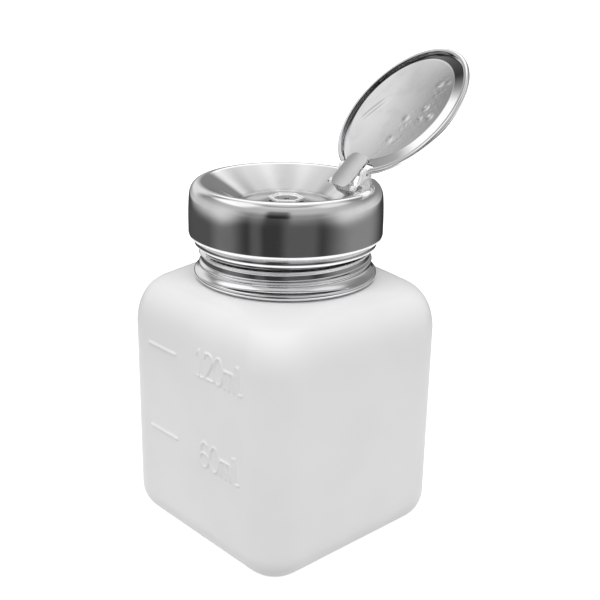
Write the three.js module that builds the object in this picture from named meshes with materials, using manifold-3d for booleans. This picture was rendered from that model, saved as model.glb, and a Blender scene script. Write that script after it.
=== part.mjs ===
// Pump bottle for nail polish remover: a square blow-moulded bottle, a thumb pump under a screwed metal
// collar, and a polished dish that is pressed down to wet a cotton pad, with a flip lid on a hinge in its rim.
// Lengths are in millimetres, +Z is up, and the origin is the centre of the bottle's flat base. The bottle's
// graduated side faces -Y. The lid stands open against its stop.
import * as THREE from "three";
import { mergeVertices } from "three/addons/utils/BufferGeometryUtils.js";
import Module from "manifold-3d";

const wasm = await Module();
wasm.setup();

// Clearances between pieces that touch, slide or screw together
const touch = 0.3;
const sliding = 0.35;
const threadPlay = 0.45;
const valveSeat = 0.1;
const pinRunning = 0.1;
const overrun = 2;

// Square bottle with a round threaded neck
const bottle = {
  side: 56,
  cornerRadius: 9.1,
  baseFillet: 7.5,
  wall: 1.6,
  floor: 1.8,
  bodyHeight: 51.2,
  shoulderInset: 5.2,
  shoulderRise: 11,
  shoulderSweepDeg: 80,
  domeRise: 2,
  domeFullness: 1.6,
  collarSeat: 1.7,
  neckHeight: 6.4,
  neckRadius: 18.9,
  neckWall: 2,
  mouthChamfer: 0.4,
};
const graduation = { heightShares: [0.523, 0.947], from: -17, to: -6, width: 0.9, relief: 0.35 };

// Thread shared by the neck and the rolled collar: right-handed, one start
const thread = { pitch: 2.6, height: 0.65, foot: 1.2, topGap: 0.7, runOut: 0.7, phase: 4.2 };

// Collar rolled from sheet metal
const collar = {
  sheet: 0.45,
  flare: 1.4,
  flareHeight: 1.5,
  bead: 0.45,
  beadHeight: 1.3,
  bottomGap: 0.4,
  topFillet: 0.9,
};

// Pump that hangs in the neck
const gasket = { thickness: 0.7, inset: 0.5 };
const housing = {
  flange: 0.8,
  flangeInset: 0.3,
  bore: 6,
  wall: 1.2,
  capSocketWiden: 0.6,
  capSocketDepth: 3.7,
  length: 22,
  ledge: 0.8,
  pocketSlope: 1.5,
  pocketDepth: 1.8,
  valvePort: 1.2,
  portLength: 1.2,
  socketWall: 1.1,
  socketDepth: 7.2,
};
const guideCap = { neckStep: 4.1, holePlay: 0.5, flangeOverlap: 2.5, flange: 0.6, bevel: 0.3, floor: 1.4 };
const dipTube = { radius: 2, wall: 0.7, footGap: 2.4, slantDeg: 30 };
const inletBall = { radius: 1.9 };
const retainer = { thickness: 1.2, holeRadius: 0.9, holeCircleShare: 0.54, holes: 4 };
const spring = { wire: 0.35, play: 1.05, turns: 6 };
const stem = { bore: 1.25, wall: 1.25, shoulder: 1.1, shoulderLength: 0.8, stopGap: 0.4 };
const piston = { length: 5, lip: 0.9, lipLength: 1.4, waist: 1 };
const outletBall = { overBore: 0.35, play: 0.5 };

// Pressing head: a moulded insert inside one polished stamping
const press = { stroke: 4 };
const head = {
  turnDeg: -14,
  sheet: 0.5,
  overhang: 1.5,
  height: 14.4,
  lipHeight: 1.5,
  beadSwell: 0.2,
  cornerHeight: 1.4,
  rimWidth: 2.5,
  rimHeight: 3.2,
  dishWidth: 9.8,
  dishDepth: 5.3,
  dishFullness: 1.3,
  moundRise: 0.7,
};
const insert = {
  plate: 1.2,
  skirt: 0.9,
  skirtDepth: 2,
  hubWall: 1.6,
  stemDepth: 3.9,
  ribHeight: 0.65,
  ribWidth: 1.5,
};
const nozzle = {
  acrossFlats: 7.4,
  brim: 0.85,
  rim: 0.6,
  mouthDepth: 0.5,
  neckWall: 0.8,
  neckDepth: 0.6,
  port: 0.8,
  portLength: 0.8,
};

// Hinge in the rim, and the flip lid as it lies when it is closed
const hinge = {
  openDeg: 133.5,
  inset: 1.9,
  pinRadius: 0.5,
  barrelRadius: 1.15,
  earRadius: 1.3,
  earWidth: 1.3,
  leafWidth: 8,
  leafThickness: 0.55,
  leafLength: 10,
  leafInset: 0.3,
  tail: 5.5,
};
const bracket = { front: 3.9, topDrop: 1.7, bevel: 0.6, brow: 0.8, sweepGap: 0.4 };
const notch = { sideGap: 0.5, sill: 1.55 };
const lid = {
  sheet: 0.4,
  margin: 1.3,
  hemRadius: 0.65,
  hemReturn: 0.5,
  hemDrop: 0.05,
  domeRise: 0.85,
  plugMargin: 2.1,
  plugDepth: 1.3,
  plugCorner: 0.5,
  notchReach: 2.5,
};

// Facets
const round = 40;
const smallRound = 24;
const arcSteps = 4;
const ringsPerPitch = 5;
const wireSides = 5;
const wireSteps = 10;

// Bottle and thread
const half = bottle.side / 2;
const domeTop = bottle.bodyHeight + bottle.shoulderRise + bottle.domeRise;
const neckTop = domeTop + bottle.neckHeight;
const neckBore = bottle.neckRadius - bottle.neckWall;
const threadBottom = domeTop + thread.foot;
const threadTop = neckTop - thread.topGap;

// Stack of pieces on the neck
const gasketBottom = neckTop + touch;
const flangeBottom = gasketBottom + gasket.thickness + touch;
const flangeTop = flangeBottom + housing.flange;
const collarInnerTop = flangeTop + touch;
const collarTop = collarInnerTop + collar.sheet;
const collarBottom = domeTop + collar.bottomGap;
const collarRadius = bottle.neckRadius + threadPlay + collar.sheet;
const collarRib = collarRadius + thread.height;

// Inside the pump
const housingRadius = housing.bore + housing.wall;
const capSocketRadius = housing.bore + housing.capSocketWiden;
const capSocketBottom = flangeTop - housing.capSocketDepth;
const ledgeHeight = flangeTop - housing.length;
const pocketRadius = inletBall.radius + sliding + valveSeat;
const pocketTop = ledgeHeight - housing.pocketSlope;
const pocketBottom = pocketTop - housing.pocketDepth;
const seatBottom = pocketBottom - (pocketRadius - housing.valvePort);
const portBottom = seatBottom - housing.portLength;
const socketRadius = dipTube.radius + touch;
const socketBottom = portBottom - housing.socketDepth;
const retainerBottom = ledgeHeight + touch;
const retainerTop = retainerBottom + retainer.thickness;
const stemRadius = stem.bore + stem.wall;
const hubRadius = stemRadius + touch + insert.hubWall;
const capBottom = capSocketBottom + touch;
const capPlugRadius = capSocketRadius - touch;
const capNeckRadius = capPlugRadius + guideCap.neckStep;
const collarHole = capNeckRadius + guideCap.holePlay;
const cupFloor = capBottom + guideCap.floor;
const capFlangeBottom = collarTop + touch;
const capTop = capFlangeBottom + guideCap.flange;
const shoulderTop = capBottom - stem.stopGap;
const pistonTop = shoulderTop - stem.shoulderLength - touch;
const pistonBottom = pistonTop - piston.length;
const springBottom = retainerTop + touch;
const springTop = pistonBottom - touch;
const springRadius = housing.bore - spring.play - spring.wire;

// Inside the head
const plateBottom = capTop + press.stroke + touch;
const plateTop = plateBottom + insert.plate;
const ribTop = plateTop + insert.ribHeight;
const hubBottom = cupFloor + press.stroke + touch;
const stemSocketTop = hubBottom + insert.stemDepth;
const stemTop = stemSocketTop - touch;
const outletRadius = stem.bore + outletBall.overBore;
const chamberRadius = outletRadius + outletBall.play;
const nozzleNeck = chamberRadius + nozzle.neckWall;
const nozzleSocket = nozzleNeck + touch;

// Head's stamping
const lipRadius = collarRib + sliding + head.sheet;
const headRadius = lipRadius + head.overhang;
const insertRadius = headRadius - head.sheet - touch;
const crestRadius = headRadius - head.rimWidth;
const dishRadius = crestRadius - head.dishWidth;
const dishFloor = ribTop + touch + head.sheet;
const moundTop = dishFloor + head.moundRise;
const brimRadius = nozzle.acrossFlats / 2 / Math.cos(Math.PI / 6);
const moundRadius = brimRadius + touch;
const crest = dishFloor + head.dishDepth;
const sideTop = crest - head.rimHeight;
const lipBottom = crest - head.height;
const lipTop = lipBottom + head.lipHeight;
const cornerTop = lipTop + head.cornerHeight;
const hubTop = moundTop - head.sheet - touch;
const nozzleSocketBottom = hubTop - nozzle.neckDepth;

// Hinge and lid
const plugFace = crest - lid.plugDepth;
const hemBottom = crest - lid.hemDrop;
const leafBottom = plugFace + lid.sheet + touch;
const leafTop = leafBottom + hinge.leafThickness;
const pinHeight = leafTop + hinge.barrelRadius - hinge.leafInset;
const pinReach = crestRadius - hinge.inset;
const bracketWidth = hinge.leafWidth + 2 * (hinge.earWidth + touch);
const bracketFront = pinReach - bracket.front;
const bracketBack = Math.sqrt(insertRadius ** 2 - (bracketWidth / 2) ** 2) - touch;
const bracketBottom = plateTop + touch;
const bracketTop = crest - bracket.topDrop;
const bracketFloor = pinHeight - Math.hypot(hinge.tail, pinHeight - leafBottom) - bracket.sweepGap;
const notchWidth = bracketWidth + 2 * notch.sideGap;
const lidRadius = crestRadius - lid.margin;
const hemCentre = lidRadius - lid.hemRadius;
const hemEdge = hemCentre - lid.hemReturn;
const plugRadius = lidRadius - lid.plugMargin;

const radians = THREE.MathUtils.degToRad;

// Points of an arc about [r, z] in a section, from one angle to another.
function arc(r, z, radius, fromDeg, toDeg, height = radius) {
  return Array.from({ length: arcSteps + 1 }, (_, i) => {
    const angle = radians(fromDeg + ((toDeg - fromDeg) * i) / arcSteps);
    return [r + radius * Math.cos(angle), z + height * Math.sin(angle)];
  });
}

// Unit normal of a path at point i, on its right-hand side, stretched so that walls keep their thickness.
function mitre(path, i) {
  const before = path[Math.max(i - 1, 0)];
  const at = path[i];
  const after = path[Math.min(i + 1, path.length - 1)];
  const inward = new THREE.Vector2(at[0] - before[0], at[1] - before[1]);
  const outward = new THREE.Vector2(after[0] - at[0], after[1] - at[1]);
  if (inward.length() === 0) inward.copy(outward);
  if (outward.length() === 0) outward.copy(inward);
  inward.normalize();
  outward.normalize();
  const along = inward.clone().add(outward).normalize();
  return new THREE.Vector2(along.y, -along.x).divideScalar(Math.max(along.dot(inward), 0.5));
}

// Closed section of a sheet: the path is its left-hand face, and the sheet's thickness lies to the right.
function sheetSection(path, thickness) {
  const back = path.map((point, i) => {
    const normal = mitre(path, i).multiplyScalar(thickness);
    return [Math.max(point[0] + normal.x, 0), point[1] + normal.y];
  });
  return [...back, ...path.toReversed()];
}

// Solid of revolution about Z. The section runs anticlockwise in the (radius, height) plane.
function turned(section, sides = round) {
  const closed = section[0][0] === 0 && section.at(-1)[0] === 0 ? section : [...section, section[0]];
  const points = closed.map(([r, z]) => new THREE.Vector2(r, z));
  return new THREE.LatheGeometry(points, sides).rotateX(Math.PI / 2);
}

// How far a thread stands out, from 0 to 1, at a height and an angle about Z.
function threadCrest(height, angle) {
  const turn = (height - domeTop - thread.phase) / thread.pitch - angle / (2 * Math.PI);
  return (0.5 + 0.5 * Math.cos(2 * Math.PI * turn)) ** 1.5;
}

// Moves each vertex out along its radius by swell(radius, height, angle).
function swollen(geometry, swell) {
  const position = geometry.getAttribute("position");
  for (let i = 0; i < position.count; i += 1) {
    const x = position.getX(i);
    const y = position.getY(i);
    const radius = Math.hypot(x, y);
    if (radius === 0) continue;
    const scale = 1 + swell(radius, position.getZ(i), Math.atan2(y, x)) / radius;
    position.setXY(i, x * scale, y * scale);
  }
  return geometry;
}

// Manifold solid of a closed geometry.
function solid(geometry) {
  const bare = geometry.clone();
  bare.deleteAttribute("normal");
  bare.deleteAttribute("uv");
  const merged = mergeVertices(bare);
  return new wasm.Manifold(
    new wasm.Mesh({
      numProp: 3,
      vertProperties: new Float32Array(merged.getAttribute("position").array),
      triVerts: new Uint32Array(merged.index.array),
    }),
  );
}

// Geometry of a manifold solid.
function geometryOf(made) {
  const mesh = made.getMesh();
  const geometry = new THREE.BufferGeometry();
  geometry.setAttribute("position", new THREE.BufferAttribute(new Float32Array(mesh.vertProperties), 3));
  geometry.setIndex(new THREE.BufferAttribute(new Uint32Array(mesh.triVerts), 1));
  geometry.computeVertexNormals();
  return geometry;
}

// One geometry less another.
function cut(geometry, ...tools) {
  return geometryOf(tools.reduce((made, tool) => made.subtract(solid(tool)), solid(geometry)));
}

// Several geometries joined into one solid.
function joined(...geometries) {
  return geometryOf(geometries.map(solid).reduce((made, next) => made.add(next)));
}

// Box between two corners.
function block(low, high) {
  const [x, y, z] = high.map((value, i) => value - low[i]);
  return new THREE.BoxGeometry(x, y, z).translate(low[0] + x / 2, low[1] + y / 2, low[2] + z / 2);
}

// Cylinder along Z from one height to another.
function rod(radius, bottom, top, sides = smallRound) {
  return new THREE.CylinderGeometry(radius, radius, top - bottom, sides)
    .rotateX(Math.PI / 2)
    .translate(0, 0, (bottom + top) / 2);
}

// Cylinder along X about the hinge's axis, in the hinge's own frame: Y outwards, Z up, drum axis at Y = 0.
function acrossHinge(radius, width, sides = smallRound) {
  return new THREE.CylinderGeometry(radius, radius, width, sides)
    .rotateZ(Math.PI / 2)
    .translate(0, pinReach, pinHeight);
}

// Outline in the hinge's (outwards, up) plane, extruded across the hinge to a width.
function acrossOutline(outline, width) {
  const shape = new THREE.Shape(outline.map(([y, z]) => new THREE.Vector2(y, z)));
  return new THREE.ExtrudeGeometry(shape, { depth: width, bevelEnabled: false, curveSegments: arcSteps })
    .rotateX(Math.PI / 2)
    .rotateZ(Math.PI / 2)
    .translate(-width / 2, 0, 0);
}

// Level outline of the bottle at one height: a square with rounded corners, a circle where corner = half.
function station(halfWidth, corner, height) {
  return { halfWidth, corner, height };
}

// Stations up the base fillet and the shoulder of a rounded box, inset from the outside by a wall.
function bodyStations(inset, bottom, shoulderDrop) {
  const stations = [];
  const corner = bottle.cornerRadius - inset;
  const width = half - inset;
  const fillet = bottle.baseFillet - inset;
  for (let i = 0; i <= arcSteps; i += 1) {
    const angle = (i / arcSteps) * (Math.PI / 2);
    const drawnIn = fillet * (1 - Math.sin(angle));
    stations.push(station(width - drawnIn, corner - drawnIn, bottom + fillet * (1 - Math.cos(angle))));
  }
  for (let i = 0; i <= arcSteps; i += 1) {
    const angle = (i / arcSteps) * radians(bottle.shoulderSweepDeg);
    const drawnIn = bottle.shoulderInset * (1 - Math.cos(angle));
    const height = bottle.bodyHeight - shoulderDrop + bottle.shoulderRise * Math.sin(angle);
    stations.push(station(width - drawnIn, corner, height));
  }
  return stations;
}

// Stations over the dome, from the shoulder to a circle of a radius at a height.
function domeStations(shoulder, radius, top) {
  return Array.from({ length: arcSteps }, (_, i) => {
    const share = (i + 1) / arcSteps;
    const rise = 1 - (1 - share) ** bottle.domeFullness;
    return station(
      THREE.MathUtils.lerp(shoulder.halfWidth, radius, share),
      THREE.MathUtils.lerp(shoulder.corner, radius, share),
      THREE.MathUtils.lerp(shoulder.height, top, rise),
    );
  });
}

// Bottle: turned as a round vase of the corners' radius, then each quarter moved out to make the square.
function bottleGeometry() {
  const outside = bodyStations(0, 0, 0);
  const seatRadius = bottle.neckRadius + bottle.collarSeat;
  outside.push(...domeStations(outside.at(-1), seatRadius, domeTop));
  const neckStart = threadBottom - thread.runOut / 2;
  outside.push(station(bottle.neckRadius, bottle.neckRadius, neckStart));
  const rings = Math.ceil(((threadTop - neckStart) / thread.pitch) * ringsPerPitch);
  for (let i = 1; i <= rings; i += 1) {
    const height = THREE.MathUtils.lerp(neckStart, threadTop, i / rings);
    outside.push(station(bottle.neckRadius, bottle.neckRadius, height));
  }
  const chamfered = bottle.neckRadius - bottle.mouthChamfer;
  outside.push(station(bottle.neckRadius, bottle.neckRadius, neckTop - bottle.mouthChamfer));
  outside.push(station(chamfered, chamfered, neckTop));

  const inside = bodyStations(bottle.wall, bottle.floor, bottle.wall);
  inside.push(...domeStations(inside.at(-1), neckBore, domeTop - bottle.wall));
  inside.push(station(neckBore, neckBore, neckTop));

  const stations = [station(0, 0, 0), ...outside, ...inside.toReversed(), station(0, 0, bottle.floor)];
  const points = stations.map(({ corner, height }) => new THREE.Vector2(corner, height));
  const vase = new THREE.LatheGeometry(points, round, Math.PI / round).rotateX(Math.PI / 2);
  const position = vase.getAttribute("position");
  for (let i = 0; i < position.count; i += 1) {
    const { halfWidth, corner } = stations[i % stations.length];
    const x = position.getX(i);
    const y = position.getY(i);
    const shift = corner === 0 ? 0 : halfWidth - corner;
    position.setXY(i, x + Math.sign(x) * shift, y + Math.sign(y) * shift);
  }
  const threaded = swollen(vase, (radius, height, angle) => {
    const window =
      THREE.MathUtils.smoothstep(height, threadBottom, threadBottom + thread.runOut) -
      THREE.MathUtils.smoothstep(height, threadTop - thread.runOut, threadTop);
    const onNeck = radius > (neckBore + bottle.neckRadius) / 2;
    return onNeck ? window * thread.height * threadCrest(height, angle) : 0;
  });
  const marks = graduation.heightShares.map((share) => {
    const bottom = bottle.bodyHeight * share - graduation.width / 2;
    return block(
      [graduation.from, -half - graduation.relief, bottom],
      [graduation.to, -half + bottle.wall / 2, bottom + graduation.width],
    );
  });
  return joined(threaded, ...marks);
}

// Collar: a spun cap whose side is rolled into the thread, with a flared and beaded foot.
function collarGeometry() {
  const footRadius = collarRadius + collar.flare;
  const beadMiddle = collarBottom + collar.beadHeight / 2;
  const beadTop = collarBottom + collar.beadHeight;
  const flareTop = beadTop + collar.flareHeight;
  const filletBottom = collarTop - collar.topFillet;
  const rings = Math.round(((filletBottom - flareTop) / thread.pitch) * ringsPerPitch);
  const path = [
    [footRadius, collarBottom],
    ...arc(footRadius, beadMiddle, collar.bead, -60, 60, collar.beadHeight / 2),
    [footRadius, beadTop],
    [collarRadius + (collar.flare * 2) / 3, beadTop + collar.flareHeight / 3],
    [collarRadius + collar.flare / 4, flareTop - collar.flareHeight / 4],
    ...Array.from({ length: rings + 1 }, (_, i) => [
      collarRadius,
      THREE.MathUtils.lerp(flareTop, filletBottom, i / rings),
    ]),
    ...arc(collarRadius - collar.topFillet, filletBottom, collar.topFillet, 15, 90),
    [collarHole, collarTop],
  ];
  const cap = turned(sheetSection(path.toReversed(), collar.sheet));
  const middle = collarRadius - collar.sheet / 2;
  return swollen(cap, (radius, height, angle) => {
    const rib = radius > middle ? collarRib : collarRib - collar.sheet;
    const window = 1 - THREE.MathUtils.smoothstep(height, filletBottom - thread.pitch / 2, filletBottom);
    return height > beadTop ? window * Math.max(rib - radius, 0) * threadCrest(height, angle) : 0;
  });
}

// Ring between two radii and two heights.
function ring(inner, outer, bottom, top, sides = round) {
  return turned([[inner, bottom], [outer, bottom], [outer, top], [inner, top]], sides);
}

// Pump housing: flange, cylinder, foot valve seat and dip tube socket in one moulding.
function housingGeometry() {
  const flangeRadius = bottle.neckRadius - housing.flangeInset;
  const socketOuter = socketRadius + housing.socketWall;
  const section = [
    [socketRadius, socketBottom],
    [socketOuter, socketBottom],
    [socketOuter, seatBottom],
    [housingRadius, pocketTop],
    [housingRadius, flangeBottom],
    [flangeRadius, flangeBottom],
    [flangeRadius, flangeTop],
    [capSocketRadius, flangeTop],
    [capSocketRadius, capSocketBottom],
    [housing.bore, capSocketBottom],
    [housing.bore, ledgeHeight],
    [housing.bore - housing.ledge, ledgeHeight],
    [pocketRadius, pocketTop],
    [pocketRadius, pocketBottom],
    [housing.valvePort, seatBottom],
    [housing.valvePort, portBottom],
    [socketRadius, portBottom],
  ];
  return turned(section, smallRound);
}

// Guide cap: snaps into the housing and traps the collar, guides the stem and leaves a cup for the hub.
function guideCapGeometry() {
  const stemBore = stemRadius + sliding;
  const cup = hubRadius + sliding;
  const flangeRadius = collarHole + guideCap.flangeOverlap;
  const section = [
    [stemBore, capBottom],
    [capPlugRadius, capBottom],
    [capPlugRadius, collarInnerTop],
    [capNeckRadius, collarInnerTop],
    [capNeckRadius, capFlangeBottom],
    [flangeRadius, capFlangeBottom],
    [flangeRadius, capTop - guideCap.bevel],
    [flangeRadius - guideCap.bevel, capTop],
    [cup, capTop],
    [cup, cupFloor],
    [stemBore, cupFloor],
  ];
  return turned(section, smallRound);
}

// Dip tube with its foot cut on the slant, so that it can't seal against the bottle's floor.
function dipTubeGeometry() {
  const foot = bottle.floor + dipTube.footGap;
  const tube = ring(dipTube.radius - dipTube.wall, dipTube.radius, foot, portBottom - touch, smallRound);
  const reach = overrun * dipTube.radius;
  const wedge = block([-reach, -reach, -reach], [reach, reach, 0]);
  return cut(tube, wedge.rotateY(radians(dipTube.slantDeg)).translate(0, 0, foot + dipTube.radius));
}

// Retainer: seats the spring and stops the ball, with holes for the liquid.
function retainerGeometry() {
  const radius = housing.bore - touch;
  const disc = rod(radius, retainerBottom, retainerTop);
  const hole = rod(retainer.holeRadius, retainerBottom - overrun, retainerTop + overrun, smallRound / 2);
  const holes = Array.from({ length: retainer.holes }, (_, i) =>
    hole
      .clone()
      .translate(radius * retainer.holeCircleShare, 0, 0)
      .rotateZ((i / retainer.holes) * 2 * Math.PI),
  );
  return cut(disc, ...holes);
}

// Centre line of the return spring.
class Helix extends THREE.Curve {
  getPoint(share, target = new THREE.Vector3()) {
    const angle = share * spring.turns * 2 * Math.PI;
    const height = THREE.MathUtils.lerp(springBottom + spring.wire, springTop - spring.wire, share);
    return target.set(springRadius * Math.cos(angle), springRadius * Math.sin(angle), height);
  }
}

function springGeometry() {
  const section = Array.from({ length: wireSides }, (_, i) => {
    const angle = (i / wireSides) * 2 * Math.PI;
    return new THREE.Vector2(spring.wire * Math.cos(angle), spring.wire * Math.sin(angle));
  });
  return new THREE.ExtrudeGeometry(new THREE.Shape(section), {
    steps: spring.turns * wireSteps,
    extrudePath: new Helix(),
    bevelEnabled: false,
  });
}

// Hollow stem with the shoulder that stops against the guide cap.
function stemGeometry() {
  const shoulderRadius = stemRadius + stem.shoulder;
  const shoulderBottom = shoulderTop - stem.shoulderLength;
  const section = [
    [stem.bore, pistonBottom],
    [stemRadius, pistonBottom],
    [stemRadius, shoulderBottom],
    [shoulderRadius, shoulderBottom],
    [shoulderRadius, shoulderTop],
    [stemRadius, shoulderTop],
    [stemRadius, stemTop],
    [stem.bore, stemTop],
  ];
  return turned(section, smallRound);
}

// Piston with a sealing lip at each end.
function pistonGeometry() {
  const bore = stemRadius + touch;
  const lipOuter = housing.bore - valveSeat;
  const waist = lipOuter - piston.waist;
  const section = [
    [bore, pistonBottom],
    [lipOuter - piston.lip, pistonBottom],
    [lipOuter, pistonBottom + piston.lip / 3],
    [waist, pistonBottom + piston.lipLength],
    [waist, pistonTop - piston.lipLength],
    [lipOuter, pistonTop - piston.lip / 3],
    [lipOuter - piston.lip, pistonTop],
    [bore, pistonTop],
  ];
  return turned(section, smallRound);
}

// Ball that rests in a conical or sharp seat at a height.
function ballGeometry(radius, centreHeight) {
  return new THREE.SphereGeometry(radius, smallRound / 2, arcSteps + 2)
    .rotateX(Math.PI / 2)
    .translate(0, 0, centreHeight);
}

// Insert: plate and skirt that carry the stamping, and the hub that holds the stem and the outlet valve.
function insertGeometry() {
  const stemSocket = stemRadius + touch;
  const skirtInner = insertRadius - insert.skirt;
  return turned([
    [stemSocket, hubBottom],
    [hubRadius, hubBottom],
    [hubRadius, plateBottom],
    [skirtInner, plateBottom],
    [skirtInner, plateBottom - insert.skirtDepth],
    [insertRadius, plateBottom - insert.skirtDepth],
    [insertRadius, plateTop],
    [dishRadius, plateTop],
    [dishRadius, ribTop],
    [dishRadius - insert.ribWidth, ribTop],
    [dishRadius - insert.ribWidth, plateTop],
    [hubRadius, plateTop],
    [hubRadius, hubTop],
    [nozzleSocket, hubTop],
    [nozzleSocket, nozzleSocketBottom],
    [chamberRadius, nozzleSocketBottom],
    [chamberRadius, stemSocketTop],
    [stemSocket, stemSocketTop],
  ]);
}

// Height of the dish's polished face at a radius: a rolled crest, a concave wall, a floor and a low mound.
function dishHeight(radius) {
  if (radius < dishRadius) {
    const share = (dishRadius - radius) / (dishRadius - moundRadius);
    return THREE.MathUtils.lerp(dishFloor, moundTop, THREE.MathUtils.smoothstep(share, 0, 1));
  }
  const share = ((radius - dishRadius) / head.dishWidth) ** head.dishFullness;
  return THREE.MathUtils.lerp(dishFloor, crest, THREE.MathUtils.smoothstep(share, 0, 1));
}

// Points down the dish from one radius to another, without the first.
function dishPath(fromRadius, toRadius, steps) {
  return Array.from({ length: steps }, (_, i) => {
    const radius = THREE.MathUtils.lerp(fromRadius, toRadius, (i + 1) / steps);
    return [radius, dishHeight(radius)];
  });
}

// Head shell: drum, rim and dish in one stamping, with the hinge's notch cut through its rim.
function headShellGeometry() {
  const path = [
    [lipRadius, lipBottom],
    [lipRadius + head.beadSwell, lipBottom + head.lipHeight / 4],
    [lipRadius + head.beadSwell, lipTop - head.lipHeight / 4],
    [lipRadius, lipTop],
    ...arc(lipRadius, cornerTop, head.overhang, -75, 0, head.cornerHeight),
    ...arc(crestRadius, sideTop, head.rimWidth, 0, 90, head.rimHeight),
    ...dishPath(crestRadius, dishRadius, 2 * arcSteps),
    ...dishPath(dishRadius, moundRadius, arcSteps),
    [nozzleSocket, moundTop],
  ];
  const shell = turned(sheetSection(path.toReversed(), head.sheet));
  const sill = bracketBottom + notch.sill;
  const opening = [
    [bracketFront - touch, bracketBottom],
    [insertRadius, bracketBottom],
    [insertRadius, sill],
    [headRadius + overrun, sill],
    [headRadius + overrun, crest + overrun],
    [bracketFront - touch, crest + overrun],
  ];
  return cut(shell, acrossOutline(opening, notchWidth));
}

// Outlet nozzle: a hexagonal brim on the mound, a shallow hexagonal mouth in it and a neck that closes the
// valve chamber.
function nozzleGeometry() {
  const brimBottom = moundTop + valveSeat;
  const brimTop = brimBottom + nozzle.brim;
  const neckBottom = nozzleSocketBottom + valveSeat;
  const mouthFloor = brimTop - nozzle.mouthDepth;
  const hexagon = rod(brimRadius, brimBottom, brimTop, 6).rotateZ(Math.PI / 6);
  const neck = rod(nozzleNeck, neckBottom, mouthFloor);
  const mouth = rod(brimRadius - nozzle.rim, mouthFloor, brimTop + overrun, 6).rotateZ(Math.PI / 6);
  const port = rod(nozzle.port, neckBottom - overrun, mouthFloor + overrun);
  const pocket = rod(chamberRadius, neckBottom - overrun, mouthFloor - nozzle.portLength);
  return cut(joined(hexagon, neck), mouth, port, pocket);
}

// Hinge bracket: a moulded channel that stands on the insert in the notch. Its two cheeks rise into the ears that
// hold the pin, and its floor lies below the path of the leaf's tail.
function bracketGeometry() {
  const cheek = acrossOutline(
    [
      [bracketFront, bracketBottom],
      [bracketBack, bracketBottom],
      [bracketBack, bracketTop - bracket.bevel],
      [bracketBack - bracket.bevel, bracketTop],
      [pinReach + hinge.earRadius, bracketTop],
      ...arc(pinReach, pinHeight, hinge.earRadius, 0, 180),
      [pinReach - hinge.earRadius - bracket.brow, bracketTop],
      [bracketFront + bracket.bevel, bracketTop],
      [bracketFront, bracketTop - bracket.bevel],
    ],
    hinge.earWidth,
  );
  const floor = block(
    [-bracketWidth / 2, bracketFront, bracketBottom],
    [bracketWidth / 2, bracketBack, bracketFloor],
  );
  const side = (bracketWidth - hinge.earWidth) / 2;
  const bore = acrossHinge(hinge.pinRadius + pinRunning, bracketWidth + overrun);
  return cut(joined(floor, cheek.clone().translate(-side, 0, 0), cheek.clone().translate(side, 0, 0)), bore);
}

// Lid leaf: a strip under the lid's cover with the barrel round the pin, and a tail beyond it that is pushed down
// to flip the lid open. The tail then lies in the dish, between the bracket's cheeks.
function leafGeometry() {
  const strip = block(
    [-hinge.leafWidth / 2, pinReach - hinge.leafLength, leafBottom],
    [hinge.leafWidth / 2, pinReach + hinge.tail, leafTop],
  );
  const barrel = acrossHinge(hinge.barrelRadius, hinge.leafWidth);
  const bore = acrossHinge(hinge.pinRadius + pinRunning, hinge.leafWidth + overrun);
  return cut(joined(strip, barrel), bore);
}

// Space round the bracket's ears that the lid's pieces leave free.
function lidNotch() {
  return block(
    [-bracketWidth / 2 - touch, pinReach - lid.notchReach, plugFace - overrun],
    [bracketWidth / 2 + touch, lidRadius + overrun, pinHeight + overrun],
  );
}

// Lid cover: a low dome with a hem rolled inwards.
function lidCoverGeometry() {
  const edge = hemBottom + 2 * lid.hemRadius;
  const dome = Array.from({ length: arcSteps }, (_, i) => {
    const share = i / arcSteps;
    return [hemCentre * share, edge + lid.domeRise * (1 - share ** 2)];
  });
  const hem = arc(hemCentre, hemBottom + lid.hemRadius, lid.hemRadius, 90, -90);
  return cut(turned(sheetSection([...dome, ...hem, [hemEdge, hemBottom]], lid.sheet)), lidNotch());
}

// Lid plug: the pressed inner pan that nests in the dish's mouth.
function lidPlugGeometry() {
  const path = [
    [0, plugFace],
    [plugRadius - lid.plugCorner, plugFace],
    [plugRadius, plugFace + lid.plugCorner / 2],
    [hemEdge - touch, hemBottom],
  ];
  return cut(turned(sheetSection(path.toReversed(), lid.sheet)), lidNotch());
}

// Materials
const finish = (color, roughness, metalness) => new THREE.MeshStandardMaterial({ color, roughness, metalness });
const materials = {
  milkyPlastic: finish(0xf1f1f0, 0.45, 0),
  polishedSteel: finish(0xc4c6c8, 0.12, 1),
  whitePlastic: finish(0xf4f4f2, 0.4, 0),
  clearPlastic: finish(0xe4e8ea, 0.3, 0),
  foam: finish(0xe9e6dc, 0.9, 0),
  springSteel: finish(0x9a9da0, 0.3, 1),
};

// Mesh named as its piece.
function piece(name, geometry, material) {
  const mesh = new THREE.Mesh(geometry, material);
  mesh.name = name;
  return mesh;
}

// Height of a ball's centre above the round edge that it rests on.
const edgeSeat = (radius, edgeRadius) => Math.sqrt((radius + valveSeat) ** 2 - edgeRadius ** 2);
const coneSeat = (radius) => (radius + valveSeat) * Math.SQRT2;
const inletCentre = seatBottom - housing.valvePort + coneSeat(inletBall.radius);
const outletCentre = stemTop + edgeSeat(outletRadius, stem.bore);

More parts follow.
